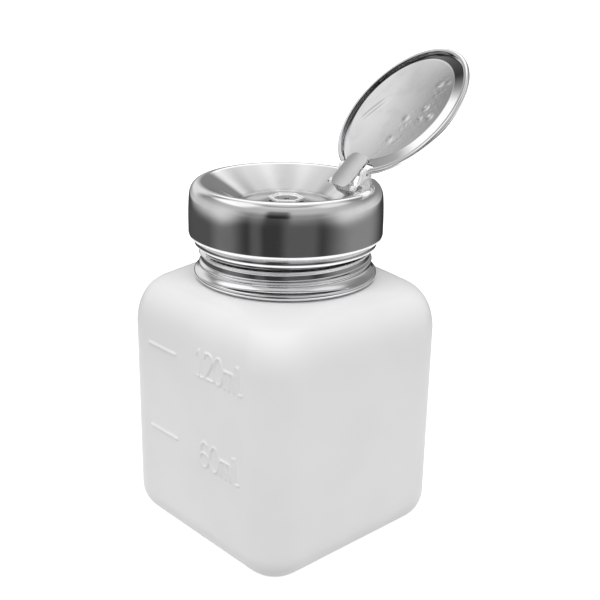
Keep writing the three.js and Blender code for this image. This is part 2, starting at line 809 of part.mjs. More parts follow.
// Closure: the pump and its collar, which come off the neck together
const closure = new THREE.Group();
closure.add(
  piece("screw_collar", collarGeometry(), materials.polishedSteel),
  piece(
    "neck_gasket",
    ring(neckBore, bottle.neckRadius - gasket.inset, gasketBottom, gasketBottom + gasket.thickness),
    materials.foam,
  ),
  piece("pump_housing", housingGeometry(), materials.whitePlastic),
  piece("guide_cap", guideCapGeometry(), materials.whitePlastic),
  piece("dip_tube", dipTubeGeometry(), materials.clearPlastic),
  piece("ball_retainer", retainerGeometry(), materials.whitePlastic),
  piece("inlet_ball", ballGeometry(inletBall.radius, inletCentre), materials.springSteel),
  piece("return_spring", springGeometry(), materials.springSteel),
);

// Lid, drawn closed in the hinge's frame and swung open about the pin
const swungLid = new THREE.Group();
swungLid.add(
  piece("lid_cover", lidCoverGeometry(), materials.polishedSteel),
  piece("lid_plug", lidPlugGeometry(), materials.polishedSteel),
  piece("lid_leaf", leafGeometry(), materials.polishedSteel),
);
swungLid.position.set(0, -pinReach, -pinHeight);
const lidPivot = new THREE.Group();
lidPivot.add(swungLid);
lidPivot.position.set(0, pinReach, pinHeight);
lidPivot.rotation.x = -radians(hinge.openDeg);

// Head: everything that goes down with the dish
const pressHead = new THREE.Group();
pressHead.add(
  piece("pump_stem", stemGeometry(), materials.whitePlastic),
  piece("piston", pistonGeometry(), materials.whitePlastic),
  piece("head_insert", insertGeometry(), materials.whitePlastic),
  piece("head_shell", headShellGeometry(), materials.polishedSteel),
  piece("outlet_nozzle", nozzleGeometry(), materials.polishedSteel),
  piece("outlet_ball", ballGeometry(outletRadius, outletCentre), materials.springSteel),
  piece("hinge_bracket", bracketGeometry(), materials.whitePlastic),
  piece("hinge_pin", acrossHinge(hinge.pinRadius, bracketWidth, smallRound / 2), materials.springSteel),
  lidPivot,
);
pressHead.rotation.z = radians(head.turnDeg);

const pumpBottle = new THREE.Group();
pumpBottle.add(piece("bottle", bottleGeometry(), materials.milkyPlastic), closure, pressHead);

export default pumpBottle;
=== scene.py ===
"""Nail polish remover pump: its surfaces, finishes, studio and camera, laid out as a Blender add-on.

Sizes in the tables are in millimetres in the frame of the CAD model: +Z up, the graduated side facing -Y.
"""
import math
from types import SimpleNamespace as Sizes

import bmesh
import bpy
import numpy as np
from mathutils import Matrix


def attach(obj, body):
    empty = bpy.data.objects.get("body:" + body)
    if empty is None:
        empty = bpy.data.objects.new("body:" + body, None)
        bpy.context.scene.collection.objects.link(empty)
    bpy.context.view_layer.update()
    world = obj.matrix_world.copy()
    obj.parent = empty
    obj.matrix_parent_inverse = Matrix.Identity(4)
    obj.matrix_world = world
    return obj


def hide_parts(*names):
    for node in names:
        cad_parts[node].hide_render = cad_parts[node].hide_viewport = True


bl_info = {
    "name": "Nail polish remover pump",
    "version": (1, 0, 0),
    "blender": (4, 5, 0),
    "location": "3D View > Sidebar > Pump bottle",
    "description": "Square pump bottle with a rolled collar, a polished pressing dish and a flip lid",
    "category": "Add Mesh",
}

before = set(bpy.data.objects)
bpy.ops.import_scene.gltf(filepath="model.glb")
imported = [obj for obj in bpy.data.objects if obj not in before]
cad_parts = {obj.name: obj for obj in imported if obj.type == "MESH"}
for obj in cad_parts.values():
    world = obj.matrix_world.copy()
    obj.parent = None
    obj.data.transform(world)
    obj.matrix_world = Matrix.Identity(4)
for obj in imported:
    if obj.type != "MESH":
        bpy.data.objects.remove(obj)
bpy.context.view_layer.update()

MM = 0.001

# Bottle: a body of rounded squares, its shoulder, dome and neck, and the hollow under its base
BODY = Sizes(half=28, corner=9.1, fillet=7.5, wall=1.6, floor=1.8, height=51.2, inset=5.2, rise=11,
             sweep=math.radians(80), dome_top=64.2, dome_power=1.6, seat=20.6, neck=18.9, bore=16.9,
             neck_bottom=65.05, neck_top=70.6, inner_neck=68.0, outer_lip=0.35, inner_lip=0.25,
             hollow=0.7, hollow_edge=(11, 16))
THREAD = Sizes(pitch=2.6, height=0.65, power=1.5, bottom=65.4, top=69.9, run_out=0.7, crest=68.4)

# Graduations: the heights and the ends of the two marks, and each word with its left and right end and its
# base line; a stroke is full within the first distance of its edge and gone at the second
GRADUATIONS = Sizes(marks=(26.8, 48.5), mark_ends=(-16.55, -6.45), mark_edge=(0.2, 0.5),
                    words=(("120ml", 1.4, 18.0, 46.3), ("60ml", 2.4, 16.9, 23.8)), stroke_edge=(-0.2, 0.16))

# Grid of the bottle: a fine step across the graduated side and over the two zones with relief, plain rows
# (from, to, count) below and between the zones and on the inside, and the first height above the zones
GRID = Sizes(left=-17.8, right=19.2, step=0.22, zones=((23.2, 31.0), (45.6, 53.6)), plain_columns=186,
             below=(8.5, 21, 6), between=(33, 44, 5), above=53.8, inside=(12, 48, 4))

COLLAR = Sizes(sheet=0.45, bottom=64.6, foot=21.2, bead=0.45, bead_top=65.9, flare_top=67.4,
               flare_power=1.6, side=19.8, rib=20.45, rib_half=0.78, fade_in=1.2, fade_out=1.3, fillet=0.9,
               top=73.45, hole=10.85)

# Head: a drum whose upper side leans in, a superelliptic rim and a dish with a low mound
HEAD = Sizes(turn=math.radians(-14), lip=21.3, lip_round=0.2, radius=22.8, crest_radius=19.8,
             dish_radius=10.5, mound_radius=4.57, hole=3.2, bottom=72.2, lip_top=73.7, corner_top=75.1,
             first_row=75.9, side_rows=(82.3, 82.9), side_top=83.4, crest=86.6, floor=81.3, mound=82.0,
             lean=0.22, lean_bottom=78.2, rim_power=2.5, foot_share=0.09, brow_share=0.04, easing=0.12)
HEAD_NOTCH = Sizes(half_width=5.8, inner=14.3, sill=81.7)

# Outlet: a neck with the valve's pocket under it, a hexagonal brim and the port in its floor
OUTLET = Sizes(pocket=2.1, pocket_top=81.95, neck=2.9, neck_bottom=81.3, brim=3.7, brim_bottom=82.1,
               lower_round=0.2, upper_round=0.26, brim_top=82.94, foot_round=0.22, floor=82.45, port=0.8,
               port_round=0.15, bluntness=0.12)

HINGE = Sizes(y=18.4, z=87.4, open=math.radians(-133.5), pin=0.5, barrel=1.0, ear=1.3, ear_width=1.3,
              width=11.2, ear_ease=0.16, pin_ease=0.2, barrel_ease=0.15)
LEAF = Sizes(width=8.0, bottom=86.0, top=86.5, start=14.4, end=23.9, round=2.2, row_step=0.6, bow=0.2,
             easing=0.12)

# Hinge block: how far each point of the cheek's two upper corners lies in from the corner and below it, and
# how far the ear's foot reaches out below and above its step
BRACKET = Sizes(front=14.5, back=20.97, bottom=80.15, floor=81.3, top=84.9, middle=84.0, shift=0.2,
                back_corner=((0, 0.6), (0.25, 0.2), (0.6, 0)), front_corner=((0.6, 0), (0.2, 0.2), (0, 0.6)),
                step=(0.02, 0.3), back_foot=(0.3, 0.06), front_foot=(0.95, 0.7), overlap=0.2,
                floor_middle=80.7, floor_ease=0.05)

LID = Sizes(hem=0.65, hem_centre=18.35, hem_edge=17.85, bottom=86.55, edge=87.85, centre=88.7, easing=0.08)
LID_NOTCH = Sizes(half_width=5.9, inner=15.9)

# Pan: its crowned face and flange, where its relief fades, and the edge and the side darkened by painted
# shade
PAN = Sizes(radius=15.3, face=86.1, crown=0.42, rim=17.6, rim_height=87.25, edge_rows=(0.1, 0.25),
            first_row=0.5, relief_edge=(13.3, 14.8), grime_edge=(-0.1, 0.2), grime_side=(-0.55, -0.83, 0),
            grime_turn=0.3)

# Marks on the pan's face: soft dents (x, y, half width, depth), two creases that start at a place and run
# along a direction, and a hammered patch of crossed waves (radians per mm along x and y, phase), which two
# longer ones make patchy
DENTS = ((7.7, -8.7, 0.6, 0.1), (9.9, -9.9, 0.5, 0.08), (9.3, -1.8, 0.6, 0.12), (12.6, 0.0, 0.6, 0.12),
         (9.9, 1.1, 0.5, 0.08), (5.3, 2.1, 0.7, 0.08), (5.2, 8.4, 0.7, 0.09))
CREASE = Sizes(x=-10.5, y=7.3, direction=(0.455, -0.89), width=0.5, height=0.09, apart=1.5, bend=0.02,
               middle=5, fade_in=(0, 3), fade_out=(7, 11))
HAMMERING = Sizes(height=0.005, edge=(5, 10),
                  waves=((3.9, 1.7, 0), (-2.3, 4.1, 1), (5.2, -2.9, 2), (1.1, 5.7, 4), (2.2, 0.6, 3),
                         (-0.9, 2.7, 5), (4.6, 3.8, 1.5)),
                  patches=((0.9, 0.5, 0), (-0.4, 0.8, 1)))

# Camera: its place in metres, and its turn, its angle below the horizon and its roll
CAMERA = Sizes(place=(0.1768, -0.1580, 0.1425), turn=math.radians(47.33), fall=math.radians(19.76),
               roll=math.radians(1.1), sensor=36, near=0.01)
LAMPS = Sizes(size=math.radians(60), side_turn=math.radians(90), side_elevation=math.radians(10))
FLOOR = Sizes(reach=4000, height=-0.1)

# Reflected surround: azimuths are in degrees from the camera's direction and elevations are in degrees. A
# panel is (middle, width, edge, glow).
RING = Sizes(radius=150, heights=(0, 8, 10, 12, 14, 16, 18, 20, 22, 24, 42, *range(45, 77, 3), 76),
             white=(10, 24), glow_height=(60, 76), side_drop=11,
             panels=((-105, 30, 55, 0.045), (-68, 10, 22, 0.1), (-31, 4, 8, 0.06), (17, 24, 13, 0.065),
                     (92, 22, 45, 0.23)))
SIDES = Sizes(panels=((-100, 50, 40, 1), (95, 50, 40, 0.8)), level=0.2, glow=0.38)
LENS = Sizes(panel=(-8, 18, 8, 1), ring_shade=0.8, tent_shade=0.7, fade_out=(24, 40))
TENT = Sizes(radius=900, centre=80, lowest=-4, front=(0, 150, 60, 1), back_level=0.27, front_gain=0.3,
             wall=(2, 26), overhead=0.74, overhead_rise=(44, 58), dip=0.45, dip_in=(62, 72), dip_out=(78, 86))

# Cards in the tent, with the elevations between which each fades in and fades out; the far one widens upwards
LEFT_CARD = Sizes(panel=(-90, 44, 26, 1), fade_in=(32, 44), fade_out=(64, 76), glow=1.25)
RIGHT_CARD = Sizes(panel=(85, 30, 25, 1), fade_in=(38, 50), fade_out=(62, 74), glow=0.95)
BACK_CARD = Sizes(panel=(-150, 16, 22, 1), fade_in=(-4, 10), fade_out=(30, 44), glow=0.88)
FAR_CARD = Sizes(middle=180, width=14, edge=10, widening=(24, 38), more_width=22, more_edge=12,
                 fade_in=(25, 33), fade_out=(66, 76), glow=1.35)

# Raised figures: the width of each, and its strokes as runs of points, in shares of the letter height
FIGURES = {
    "1": (0.5, [[(0.1, 0.82), (0.26, 1.0), (0.26, 0.0)], [(0.08, 0.0), (0.44, 0.0)]]),
    "2": (0.56, [[(0.03, 0.78), (0.1, 0.95), (0.27, 1.0), (0.44, 0.93), (0.5, 0.76), (0.44, 0.58),
                  (0.05, 0.03), (0.52, 0.03)]]),
    "0": (0.56, [[(0.27 + 0.23 * math.sin(turn), 0.5 + 0.5 * math.cos(turn))
                  for turn in np.linspace(0, 2 * math.pi, 17)]]),
    "6": (0.56, [[(0.44, 0.93), (0.28, 1.0), (0.12, 0.85), (0.05, 0.6), (0.05, 0.25)],
                 [(0.28 + 0.23 * math.sin(turn), 0.28 + 0.28 * math.cos(turn))
                  for turn in np.linspace(0, 2 * math.pi, 15)]]),
    "m": (0.66, [[(0.04, 0.0), (0.04, 0.66)],
                 [(0.04, 0.6), (0.16, 0.66), (0.5, 0.66), (0.57, 0.58), (0.57, 0.0)],
                 [(0.31, 0.64), (0.31, 0.0)]]),
    "l": (0.36, [[(0.02, 0.96), (0.14, 1.0), (0.14, 0.06), (0.22, 0.0), (0.32, 0.04)]]),
}


# Shapes


def smooth(share):
    """0 below 0, 1 above 1, and the cubic 3t^2 - 2t^3 between."""
    share = np.clip(share, 0, 1)
    return share * share * (3 - 2 * share)


def ramp(value, low, high):
    """Smooth rise from 0 at low to 1 at high."""
    return smooth((value - low) / (high - low))


def mixed(first, second, share):
    """From the first to the second, in even proportion to a share."""
    return first + (second - first) * share


def arc(centre_r, centre_z, radius, start, end, steps, height=None):
    """Points of an arc in a section: centre plus radius times cosine and height times sine, in degrees."""
    angle = np.radians(np.linspace(start, end, steps + 1))
    height = radius if height is None else height
    return np.stack([centre_r + radius * np.cos(angle), centre_z + height * np.sin(angle)], -1)


def upright(radius, heights):
    """Points of a section straight up at one radius."""
    return np.stack([np.full(len(heights), radius), heights], -1)


def full_arc(centre_r, centre_z, width, height, power, steps):
    """Quarter of a superellipse from its side to its top: width times cosine and height times sine, each to
    the power of 2 over the given one, with the angle bunched towards both ends."""
    even = np.linspace(0, 1, steps + 1)
    angle = math.pi / 4 * (even + smooth(even))
    across, up = np.cos(angle).clip(0) ** (2 / power), np.sin(angle).clip(0) ** (2 / power)
    return np.stack([centre_r + width * across, centre_z + height * up], -1)


def about_axis(reach, angle, height):
    """Points at a reach from the axis: (reach cos a, reach sin a, height)."""
    return np.stack(np.broadcast_arrays(reach * np.cos(angle), reach * np.sin(angle), height), -1)


def in_head(points):
    """From the head's own frame, with the hinge at +Y, to the bottle's frame: x cos - y sin, x sin + y
    cos."""
    points = np.asarray(points, float)
    x, y = points[..., 0], points[..., 1]
    cosine, sine = math.cos(HEAD.turn), math.sin(HEAD.turn)
    return np.stack([x * cosine - y * sine, x * sine + y * cosine, points[..., 2]], -1)


def in_lid(points):
    """From the closed lid to the open one: turned about the pin, which lies along X in the head's frame."""
    points = np.asarray(points, float)
    y, z = points[..., 1] - HINGE.y, points[..., 2] - HINGE.z
    cosine, sine = math.cos(HINGE.open), math.sin(HINGE.open)
    swung = [points[..., 0], HINGE.y + y * cosine - z * sine, HINGE.z + y * sine + z * cosine]
    return in_head(np.stack(swung, -1))


def grid_faces(rows, columns, closed=True):
    """Quads of a grid of rows; closed joins its last column to its first."""
    row = np.arange(rows - 1)[:, None]
    column = np.arange(columns if closed else columns - 1)[None, :]
    low = row * columns + column
    next_low = row * columns + (column + 1) % columns
    return np.stack([low, next_low, next_low + columns, low + columns], -1)


def notch_corner(notch):
    """Distance from the axis to a notch's inner corners."""
    return math.hypot(notch.half_width, notch.inner)


def notched(profile, corner_row, last_row, notch, columns=240, edge_columns=15):
    """Surface of revolution of a sheet's face with a notch at +Y, which has straight sides at x =
    +-half_width and an inner edge at y = inner. Each row's columns are spread so that one column on each
    side runs along the notch's sides: its angle from +Y is the arcsine of half_width over the row's radius.
    Inside the notch's columns the rows nearer the axis are drawn in, so that the corner row runs along the
    inner edge, and each takes its height from the profile at its new radius. The faces between the corner
    row and the last row are left out."""
    profile = np.asarray(profile, float)
    corner_radius = notch_corner(notch)
    inward_side = slice(corner_row, None) if last_row < corner_row else slice(0, corner_row + 1)
    radius = profile[:, 0]
    edge = np.arcsin(notch.half_width / np.maximum(radius, corner_radius))
    inside = np.linspace(-1, 1, 2 * edge_columns + 1)
    outside = np.linspace(0, 1, columns - 2 * edge_columns + 1)[1:-1]
    inside_angle = inside[None, :] * edge[:, None]
    outside_angle = edge[:, None] + outside[None, :] * 2 * (math.pi - edge[:, None])
    angle = np.concatenate([inside_angle, outside_angle], 1)
    spread = np.broadcast_to(radius[:, None], angle.shape).copy()
    shallow = np.zeros((len(profile), 1), bool)
    shallow[inward_side] = True
    share = ramp(radius, corner_radius / 2, corner_radius)[:, None]
    drawn = radius[:, None] - np.maximum(corner_radius - notch.inner / np.cos(inside_angle), 0) * share
    count = inside_angle.shape[1]
    spread[:, :count] = np.where(shallow, drawn, spread[:, :count])
    face_r, face_z = profile[inward_side].T
    order = np.argsort(face_r)
    height = np.where(shallow, np.interp(spread, face_r[order], face_z[order]), profile[:, 1:])
    points = np.stack([-spread * np.sin(angle), spread * np.cos(angle), height], -1)
    faces = grid_faces(*angle.shape)
    low, high = sorted((corner_row, last_row))
    keep = np.ones(faces.shape[:2], bool)
    keep[low:high, : 2 * edge_columns] = False
    return points, faces[keep]


def lofted(outline, stations, centre):
    """Closed bar across the hinge: a convex outline in the (y, z) plane repeated at places along X, each
    drawn towards the outline's centre by a distance that rounds the bar's ends."""
    outline = np.asarray(outline, float)
    centre = np.asarray(centre, float)
    away = outline - centre
    length = np.linalg.norm(away, axis=1, keepdims=True)
    rows = []
    for place, inset in stations:
        drawn = centre + away * np.maximum(1 - inset / length, 0)
        rows.append(np.column_stack([np.full(len(drawn), place), drawn]))
    return np.array(rows), grid_faces(len(rows), len(outline))


def bar_stations(left, right, ease):
    """Places and insets of a bar whose two ends are closed and rounded. The first and the last inset are
    larger than any outline, so that the end closes in a point."""
    closed, near, far = 99, 0.3 * ease, 1.6 * ease
    start = [(left, closed), (left, ease), (left + near, near), (left + ease, 0), (left + far, 0)]
    end = [(right - far, 0), (right - ease, 0), (right - near, near), (right, ease), (right, closed)]
    return start + end


def merged(parts):
    """Points and faces of several grids as one."""
    points, faces, shift = [], [], 0
    for part_points, part_faces in parts:
        points.append(np.asarray(part_points).reshape(-1, 3))
        faces.append(np.asarray(part_faces).reshape(-1, 4) + shift)
        shift += len(points[-1])
    return np.concatenate(points), np.concatenate(faces)


def new_piece(name, points, faces, body, finish, replaced, crease):
    """Mesh of points in millimetres and quads that rides on a body, takes a finish and replaces CAD nodes.
    Its doubles are merged, so that seams and poles are closed."""
    mesh = bpy.data.meshes.new(name)
    points = np.asarray(points, float).reshape(-1, 3) * MM
    mesh.from_pydata(points, [], np.asarray(faces).reshape(-1, 4).tolist())
    shape = bmesh.new()
    shape.from_mesh(mesh)
    bmesh.ops.remove_doubles(shape, verts=shape.verts, dist=1e-7)
    bmesh.ops.dissolve_degenerate(shape, edges=shape.edges, dist=1e-8)
    loose = [vert for vert in shape.verts if not vert.link_faces]
    bmesh.ops.delete(shape, geom=loose, context="VERTS")
    shape.to_mesh(mesh)
    shape.free()
    mesh.polygons.foreach_set("use_smooth", np.ones(len(mesh.polygons), bool))
    mesh.set_sharp_from_angle(angle=math.radians(crease))
    mesh.materials.append(finishes()[finish])
    piece = bpy.data.objects.new(name, mesh)
    bpy.context.scene.collection.objects.link(piece)
    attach(piece, body)
    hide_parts(*replaced)
    return piece


def bevelled(piece, width, segments=2):
    """Small rounding along the edges that are sharper than 40 degrees."""
    edges = piece.modifiers.new("Eased edges", "BEVEL")
    edges.width = width * MM
    edges.segments = segments
    edges.limit_method = "ANGLE"
    edges.angle_limit = math.radians(40)
    edges.use_clamp_overlap = True
    edges.harden_normals = True
    return piece


def thickened(piece, thickness):
    """Wall of a thickness behind the faces."""
    wall = piece.modifiers.new("Sheet", "SOLIDIFY")
    wall.thickness = thickness * MM
    wall.offset = -1
    wall.use_even_offset = True
    wall.use_rim = True
    return piece


# Node tools


def feed(tree, value, socket):
    """Gives a socket another socket's output, or a plain value."""
    if isinstance(value, bpy.types.NodeSocket):
        tree.links.new(value, socket)
    else:
        socket.default_value = value


def socket_group(name, inputs, outputs):
    """Shader node group with named sockets, and its input and output nodes."""
    group = bpy.data.node_groups.new(name, "ShaderNodeTree")
    for label, kind, value in inputs:
        socket = group.interface.new_socket(name=label, in_out="INPUT", socket_type=kind)
        if value is not None:
            socket.default_value = value
    for label, kind in outputs:
        group.interface.new_socket(name=label, in_out="OUTPUT", socket_type=kind)
    start = group.nodes.new("NodeGroupInput")
    end = group.nodes.new("NodeGroupOutput")
    return group, start.outputs, end.inputs


def add_noise(tree, vector, scale, detail=3.0, stretch=None):
    """Noise of a scale per metre over a vector, drawn out by a stretch of its axes."""
    if stretch is not None:
        mapping = tree.nodes.new("ShaderNodeMapping")
        mapping.inputs["Scale"].default_value = stretch
        tree.links.new(vector, mapping.inputs["Vector"])
        vector = mapping.outputs["Vector"]
    noise = tree.nodes.new("ShaderNodeTexNoise")
    feed(tree, scale, noise.inputs["Scale"])
    noise.inputs["Detail"].default_value = detail
    tree.links.new(vector, noise.inputs["Vector"])
    return noise.outputs["Fac"]


def add_math(tree, operation, *values):
    """Math node on sockets or numbers."""
    node = tree.nodes.new("ShaderNodeMath")
    node.operation = operation
    for socket, value in zip(node.inputs, values):
        feed(tree, value, socket)
    return node.outputs[0]


def add_range(tree, value, low, high, to_low, to_high, kind="SMOOTHSTEP"):
    """Value from low to high taken to to_low to to_high along a smooth step or a line."""
    node = tree.nodes.new("ShaderNodeMapRange")
    node.interpolation_type = kind
    tree.links.new(value, node.inputs["Value"])
    for label, number in (("From Min", low), ("From Max", high), ("To Min", to_low), ("To Max", to_high)):
        feed(tree, number, node.inputs[label])
    return node.outputs["Result"]


def add_mix(tree, share, first, second):
    """Colour between two, by a share. Sockets 6 and 7 are the two colours of a Mix node, and output 2 its
    colour."""
    node = tree.nodes.new("ShaderNodeMix")
    node.data_type = "RGBA"
    tree.links.new(share, node.inputs["Factor"])
    feed(tree, first, node.inputs[6])
    feed(tree, second, node.inputs[7])
    return node.outputs[2]


# Finishes


def polish_group():
    """Polished sheet metal: faint handling smudges that dull it, fine polishing lines and rare shallow
    dents."""
    group, start, end = socket_group(
        "Polished sheet",
        [("Vector", "NodeSocketVector", None), ("Bright", "NodeSocketColor", grey(0.8)),
         ("Dull", "NodeSocketColor", grey(0.7)), ("Clean roughness", "NodeSocketFloat", 0.06),
         ("Smudged roughness", "NodeSocketFloat", 0.13), ("Smudge scale", "NodeSocketFloat", 130.0)],
        [("Color", "NodeSocketColor"), ("Roughness", "NodeSocketFloat"), ("Height", "NodeSocketFloat")],
    )
    vector = start["Vector"]
    smudges = add_noise(group, vector, start["Smudge scale"], 4.0)
    smudged = add_range(group, smudges, 0.45, 0.72, 0.0, 1.0)
    group.links.new(add_mix(group, smudged, start["Bright"], start["Dull"]), end["Color"])
    roughness = add_range(group, smudges, 0.4, 0.75, start["Clean roughness"], start["Smudged roughness"])
    group.links.new(roughness, end["Roughness"])
    lines = add_noise(group, vector, 900.0, 2.0, (1.0, 1.0, 6.0))
    waves = add_noise(group, vector, 55.0, 1.0)
    group.links.new(add_math(group, "MULTIPLY_ADD", lines, 0.02, waves), end["Height"])
    return group


def moulding_group():
    """Moulded plastic: cloudy variation from wall thickness, fine matt grain and faint scuffs."""
    group, start, end = socket_group(
        "Moulded plastic",
        [("Vector", "NodeSocketVector", None), ("Colour", "NodeSocketColor", grey(0.86)),
         ("Cloud colour", "NodeSocketColor", grey(0.82)), ("Smooth roughness", "NodeSocketFloat", 0.34),
         ("Matt roughness", "NodeSocketFloat", 0.46), ("Cloud scale", "NodeSocketFloat", 38.0)],
        [("Color", "NodeSocketColor"), ("Roughness", "NodeSocketFloat"), ("Height", "NodeSocketFloat")],
    )
    vector = start["Vector"]
    clouds = add_noise(group, vector, start["Cloud scale"], 2.0)
    cloudy = add_range(group, clouds, 0.35, 0.7, 0.0, 1.0)
    group.links.new(add_mix(group, cloudy, start["Colour"], start["Cloud colour"]), end["Color"])
    grain = add_noise(group, vector, 2600.0, 2.0)
    scuffs = add_range(group, add_noise(group, vector, 420.0, 4.0, (1.0, 1.0, 0.35)), 0.62, 0.7, 0.0, 1.0)
    matt = add_range(group, grain, 0.3, 0.7, start["Smooth roughness"], start["Matt roughness"])
    group.links.new(add_math(group, "MULTIPLY_ADD", scuffs, 0.08, matt), end["Roughness"])
    group.links.new(add_math(group, "MULTIPLY_ADD", clouds, 6.0, grain), end["Height"])
    return group


def round_patch_group():
    """Mask of a round patch about Z: 1 within a radius, gone at another, with a cloudy edge."""
    group, start, end = socket_group(
        "Worn patch", [("Vector", "NodeSocketVector", None), ("Inner", "NodeSocketFloat", 0.01),
                       ("Outer", "NodeSocketFloat", 0.013), ("Cloud", "NodeSocketFloat", 0.0016)],
        [("Mask", "NodeSocketFloat")])
    place = group.nodes.new("ShaderNodeSeparateXYZ")
    group.links.new(start["Vector"], place.inputs[0])
    square = add_math(group, "MULTIPLY", place.outputs["X"], place.outputs["X"])
    square = add_math(group, "MULTIPLY_ADD", place.outputs["Y"], place.outputs["Y"], square)
    cloud = add_math(group, "SUBTRACT", add_noise(group, start["Vector"], 300.0), 0.5)
    radius = add_math(group, "MULTIPLY_ADD", cloud, start["Cloud"], add_math(group, "SQRT", square))
    group.links.new(add_range(group, radius, start["Inner"], start["Outer"], 1.0, 0.0), end["Mask"])
    return group


def built_once(name, maker):
    """Node group of a name, made at its first use."""
    return bpy.data.node_groups.get(name) or maker()


def grey(value):
    """Neutral colour of one value."""
    return (value, value, value, 1.0)


def faded(colour, share):
    """Colour with its channels at a share of their values."""
    return [*(channel * share for channel in colour), 1.0]


def base_finish(name, group, values, metallic, bump, distance):
    """Principled material that takes its colour, roughness and bump height from a group on Object
    coordinates, with the bump's distance in millimetres."""
    material = bpy.data.materials.new(name)
    material.use_nodes = True
    tree = material.node_tree
    shader = tree.nodes["Principled BSDF"]
    coordinates = tree.nodes.new("ShaderNodeTexCoord")
    effect = tree.nodes.new("ShaderNodeGroup")
    effect.node_tree = group
    for label, value in values.items():
        effect.inputs[label].default_value = value
    tree.links.new(coordinates.outputs["Object"], effect.inputs["Vector"])
    tree.links.new(effect.outputs["Color"], shader.inputs["Base Color"])
    tree.links.new(effect.outputs["Roughness"], shader.inputs["Roughness"])
    relief = tree.nodes.new("ShaderNodeBump")
    relief.inputs["Strength"].default_value = bump
    relief.inputs["Distance"].default_value = distance * MM
    tree.links.new(effect.outputs["Height"], relief.inputs["Height"])
    tree.links.new(relief.outputs["Normal"], shader.inputs["Normal"])
    shader.inputs["Metallic"].default_value = metallic
    return material


def plastic(name, colour, cloud, shiny, matt, scale=38.0, bump=0.1, distance=0.04):
    """Plastic or foam with its two colours, its two roughnesses and the scale of its clouds."""
    values = {"Colour": colour, "Cloud colour": cloud, "Smooth roughness": shiny, "Matt roughness": matt,
              "Cloud scale": scale}
    return base_finish(name, built_once("Moulded plastic", moulding_group), values, 0.0, bump, distance)


def metal(name, bright, dull, clean, smudged, scale=130.0, metallic=1.0, bump=0.1, distance=0.6):
    """Sheet metal with its two colours, its two roughnesses and the scale of its smudges."""
    values = {"Bright": bright, "Dull": dull, "Clean roughness": clean, "Smudged roughness": smudged,
              "Smudge scale": scale}
    return base_finish(name, built_once("Polished sheet", polish_group), values, metallic, bump, distance)


def dull_patch(material, inner, outer, cloud, colour, roughness):
    """Dulls and darkens a finish in a round patch about Z, whose colour and roughness take over from the
    polish.
    """
    tree = material.node_tree
    shader = tree.nodes["Principled BSDF"]
    coordinates = tree.nodes.new("ShaderNodeTexCoord")
    patch = tree.nodes.new("ShaderNodeGroup")
    patch.node_tree = built_once("Worn patch", round_patch_group)
    for label, size in (("Inner", inner), ("Outer", outer), ("Cloud", cloud)):
        patch.inputs[label].default_value = size * MM
    tree.links.new(coordinates.outputs["Object"], patch.inputs["Vector"])
    polish = shader.inputs["Base Color"].links[0].from_socket
    tree.links.new(add_mix(tree, patch.outputs["Mask"], polish, grey(colour)), shader.inputs["Base Color"])
    polished = shader.inputs["Roughness"].links[0].from_socket
    patch_roughness = add_range(tree, patch.outputs["Mask"], 0.0, 1.0, polished, roughness, "LINEAR")
    tree.links.new(patch_roughness, shader.inputs["Roughness"])


def painted_shade_coat(material, level):
    """Painted shade: darkens a finish to a grey level where the mesh's own attribute says so."""
    tree = material.node_tree
    colour = tree.nodes["Principled BSDF"].inputs["Base Color"]
    painted_shade = tree.nodes.new("ShaderNodeAttribute")
    painted_shade.attribute_name = "painted_shade"
    polish = colour.links[0].from_socket
    tree.links.new(add_mix(tree, painted_shade.outputs["Fac"], polish, grey(level)), colour)


def make_plastics(settings):
    """The bottle's milky plastic, the white mouldings, the dip tube and the foam ring."""
    colour, cloud = faded(settings.colour, 1), faded(settings.colour, 0.965)
    shiny, matt = settings.roughness - 0.05, settings.roughness + 0.07
    plastic("Milky plastic", colour, cloud, shiny, matt, bump=0.12, distance=0.05)
    plastic("White plastic", grey(0.93), grey(0.9), 0.3, 0.4, 90.0)
    plastic("Tube plastic", (0.74, 0.77, 0.78, 1), (0.68, 0.71, 0.73, 1), 0.2, 0.3)
    plastic("Foam ring", (0.8, 0.78, 0.72, 1), (0.72, 0.7, 0.64, 1), 0.8, 0.95, 900.0, bump=0.5, distance=0.1)


def make_metals(settings):
    """The polished metals of the lid, drum, pan and collar, the outlet's and the leaf's duller ones, and
    the steel of the balls, pin and spring."""
    bright, dull = faded(settings.colour, 1), faded(settings.colour, 0.93)
    clean = settings.roughness
    metal("Polished metal", bright, dull, clean, clean + 0.05)
    # The dish's floor and mound turn darker and duller within a round patch about the axis.
    dull_patch(metal("Drum metal", bright, dull, clean, clean + 0.05), 10.6, 12.2, 1.2, 0.28, 0.2)
    outlet = metal("Outlet metal", grey(0.95), grey(0.92), 0.25, 0.32, metallic=0.35)
    # The outlet's floor and port turn darker and duller within a round patch about the axis.
    dull_patch(outlet, 2.75, 3.05, 0.1, 0.3, 0.25)
    # The pan's flange is painted nearly black on one side: painted shade on its inner wall.
    painted_shade_coat(metal("Pan metal", bright, dull, clean + 0.02, clean + 0.09, 200.0, bump=0.2), 0.02)
    metal("Collar metal", bright, dull, 0.035, 0.07, bump=0.03)
    metal("Worn metal", grey(0.7), grey(0.62), clean + 0.03, clean + 0.1)
    metal("Plain steel", grey(0.62), grey(0.5), 0.2, 0.34, 700.0, bump=0.2, distance=0.1)


def finishes():
    """The finishes by name, made at their first use."""
    if "Milky plastic" not in bpy.data.materials:
        make_plastics(bpy.context.scene.pump_bottle_plastic)
        make_metals(bpy.context.scene.pump_bottle_metal)
    return bpy.data.materials


# Bottle


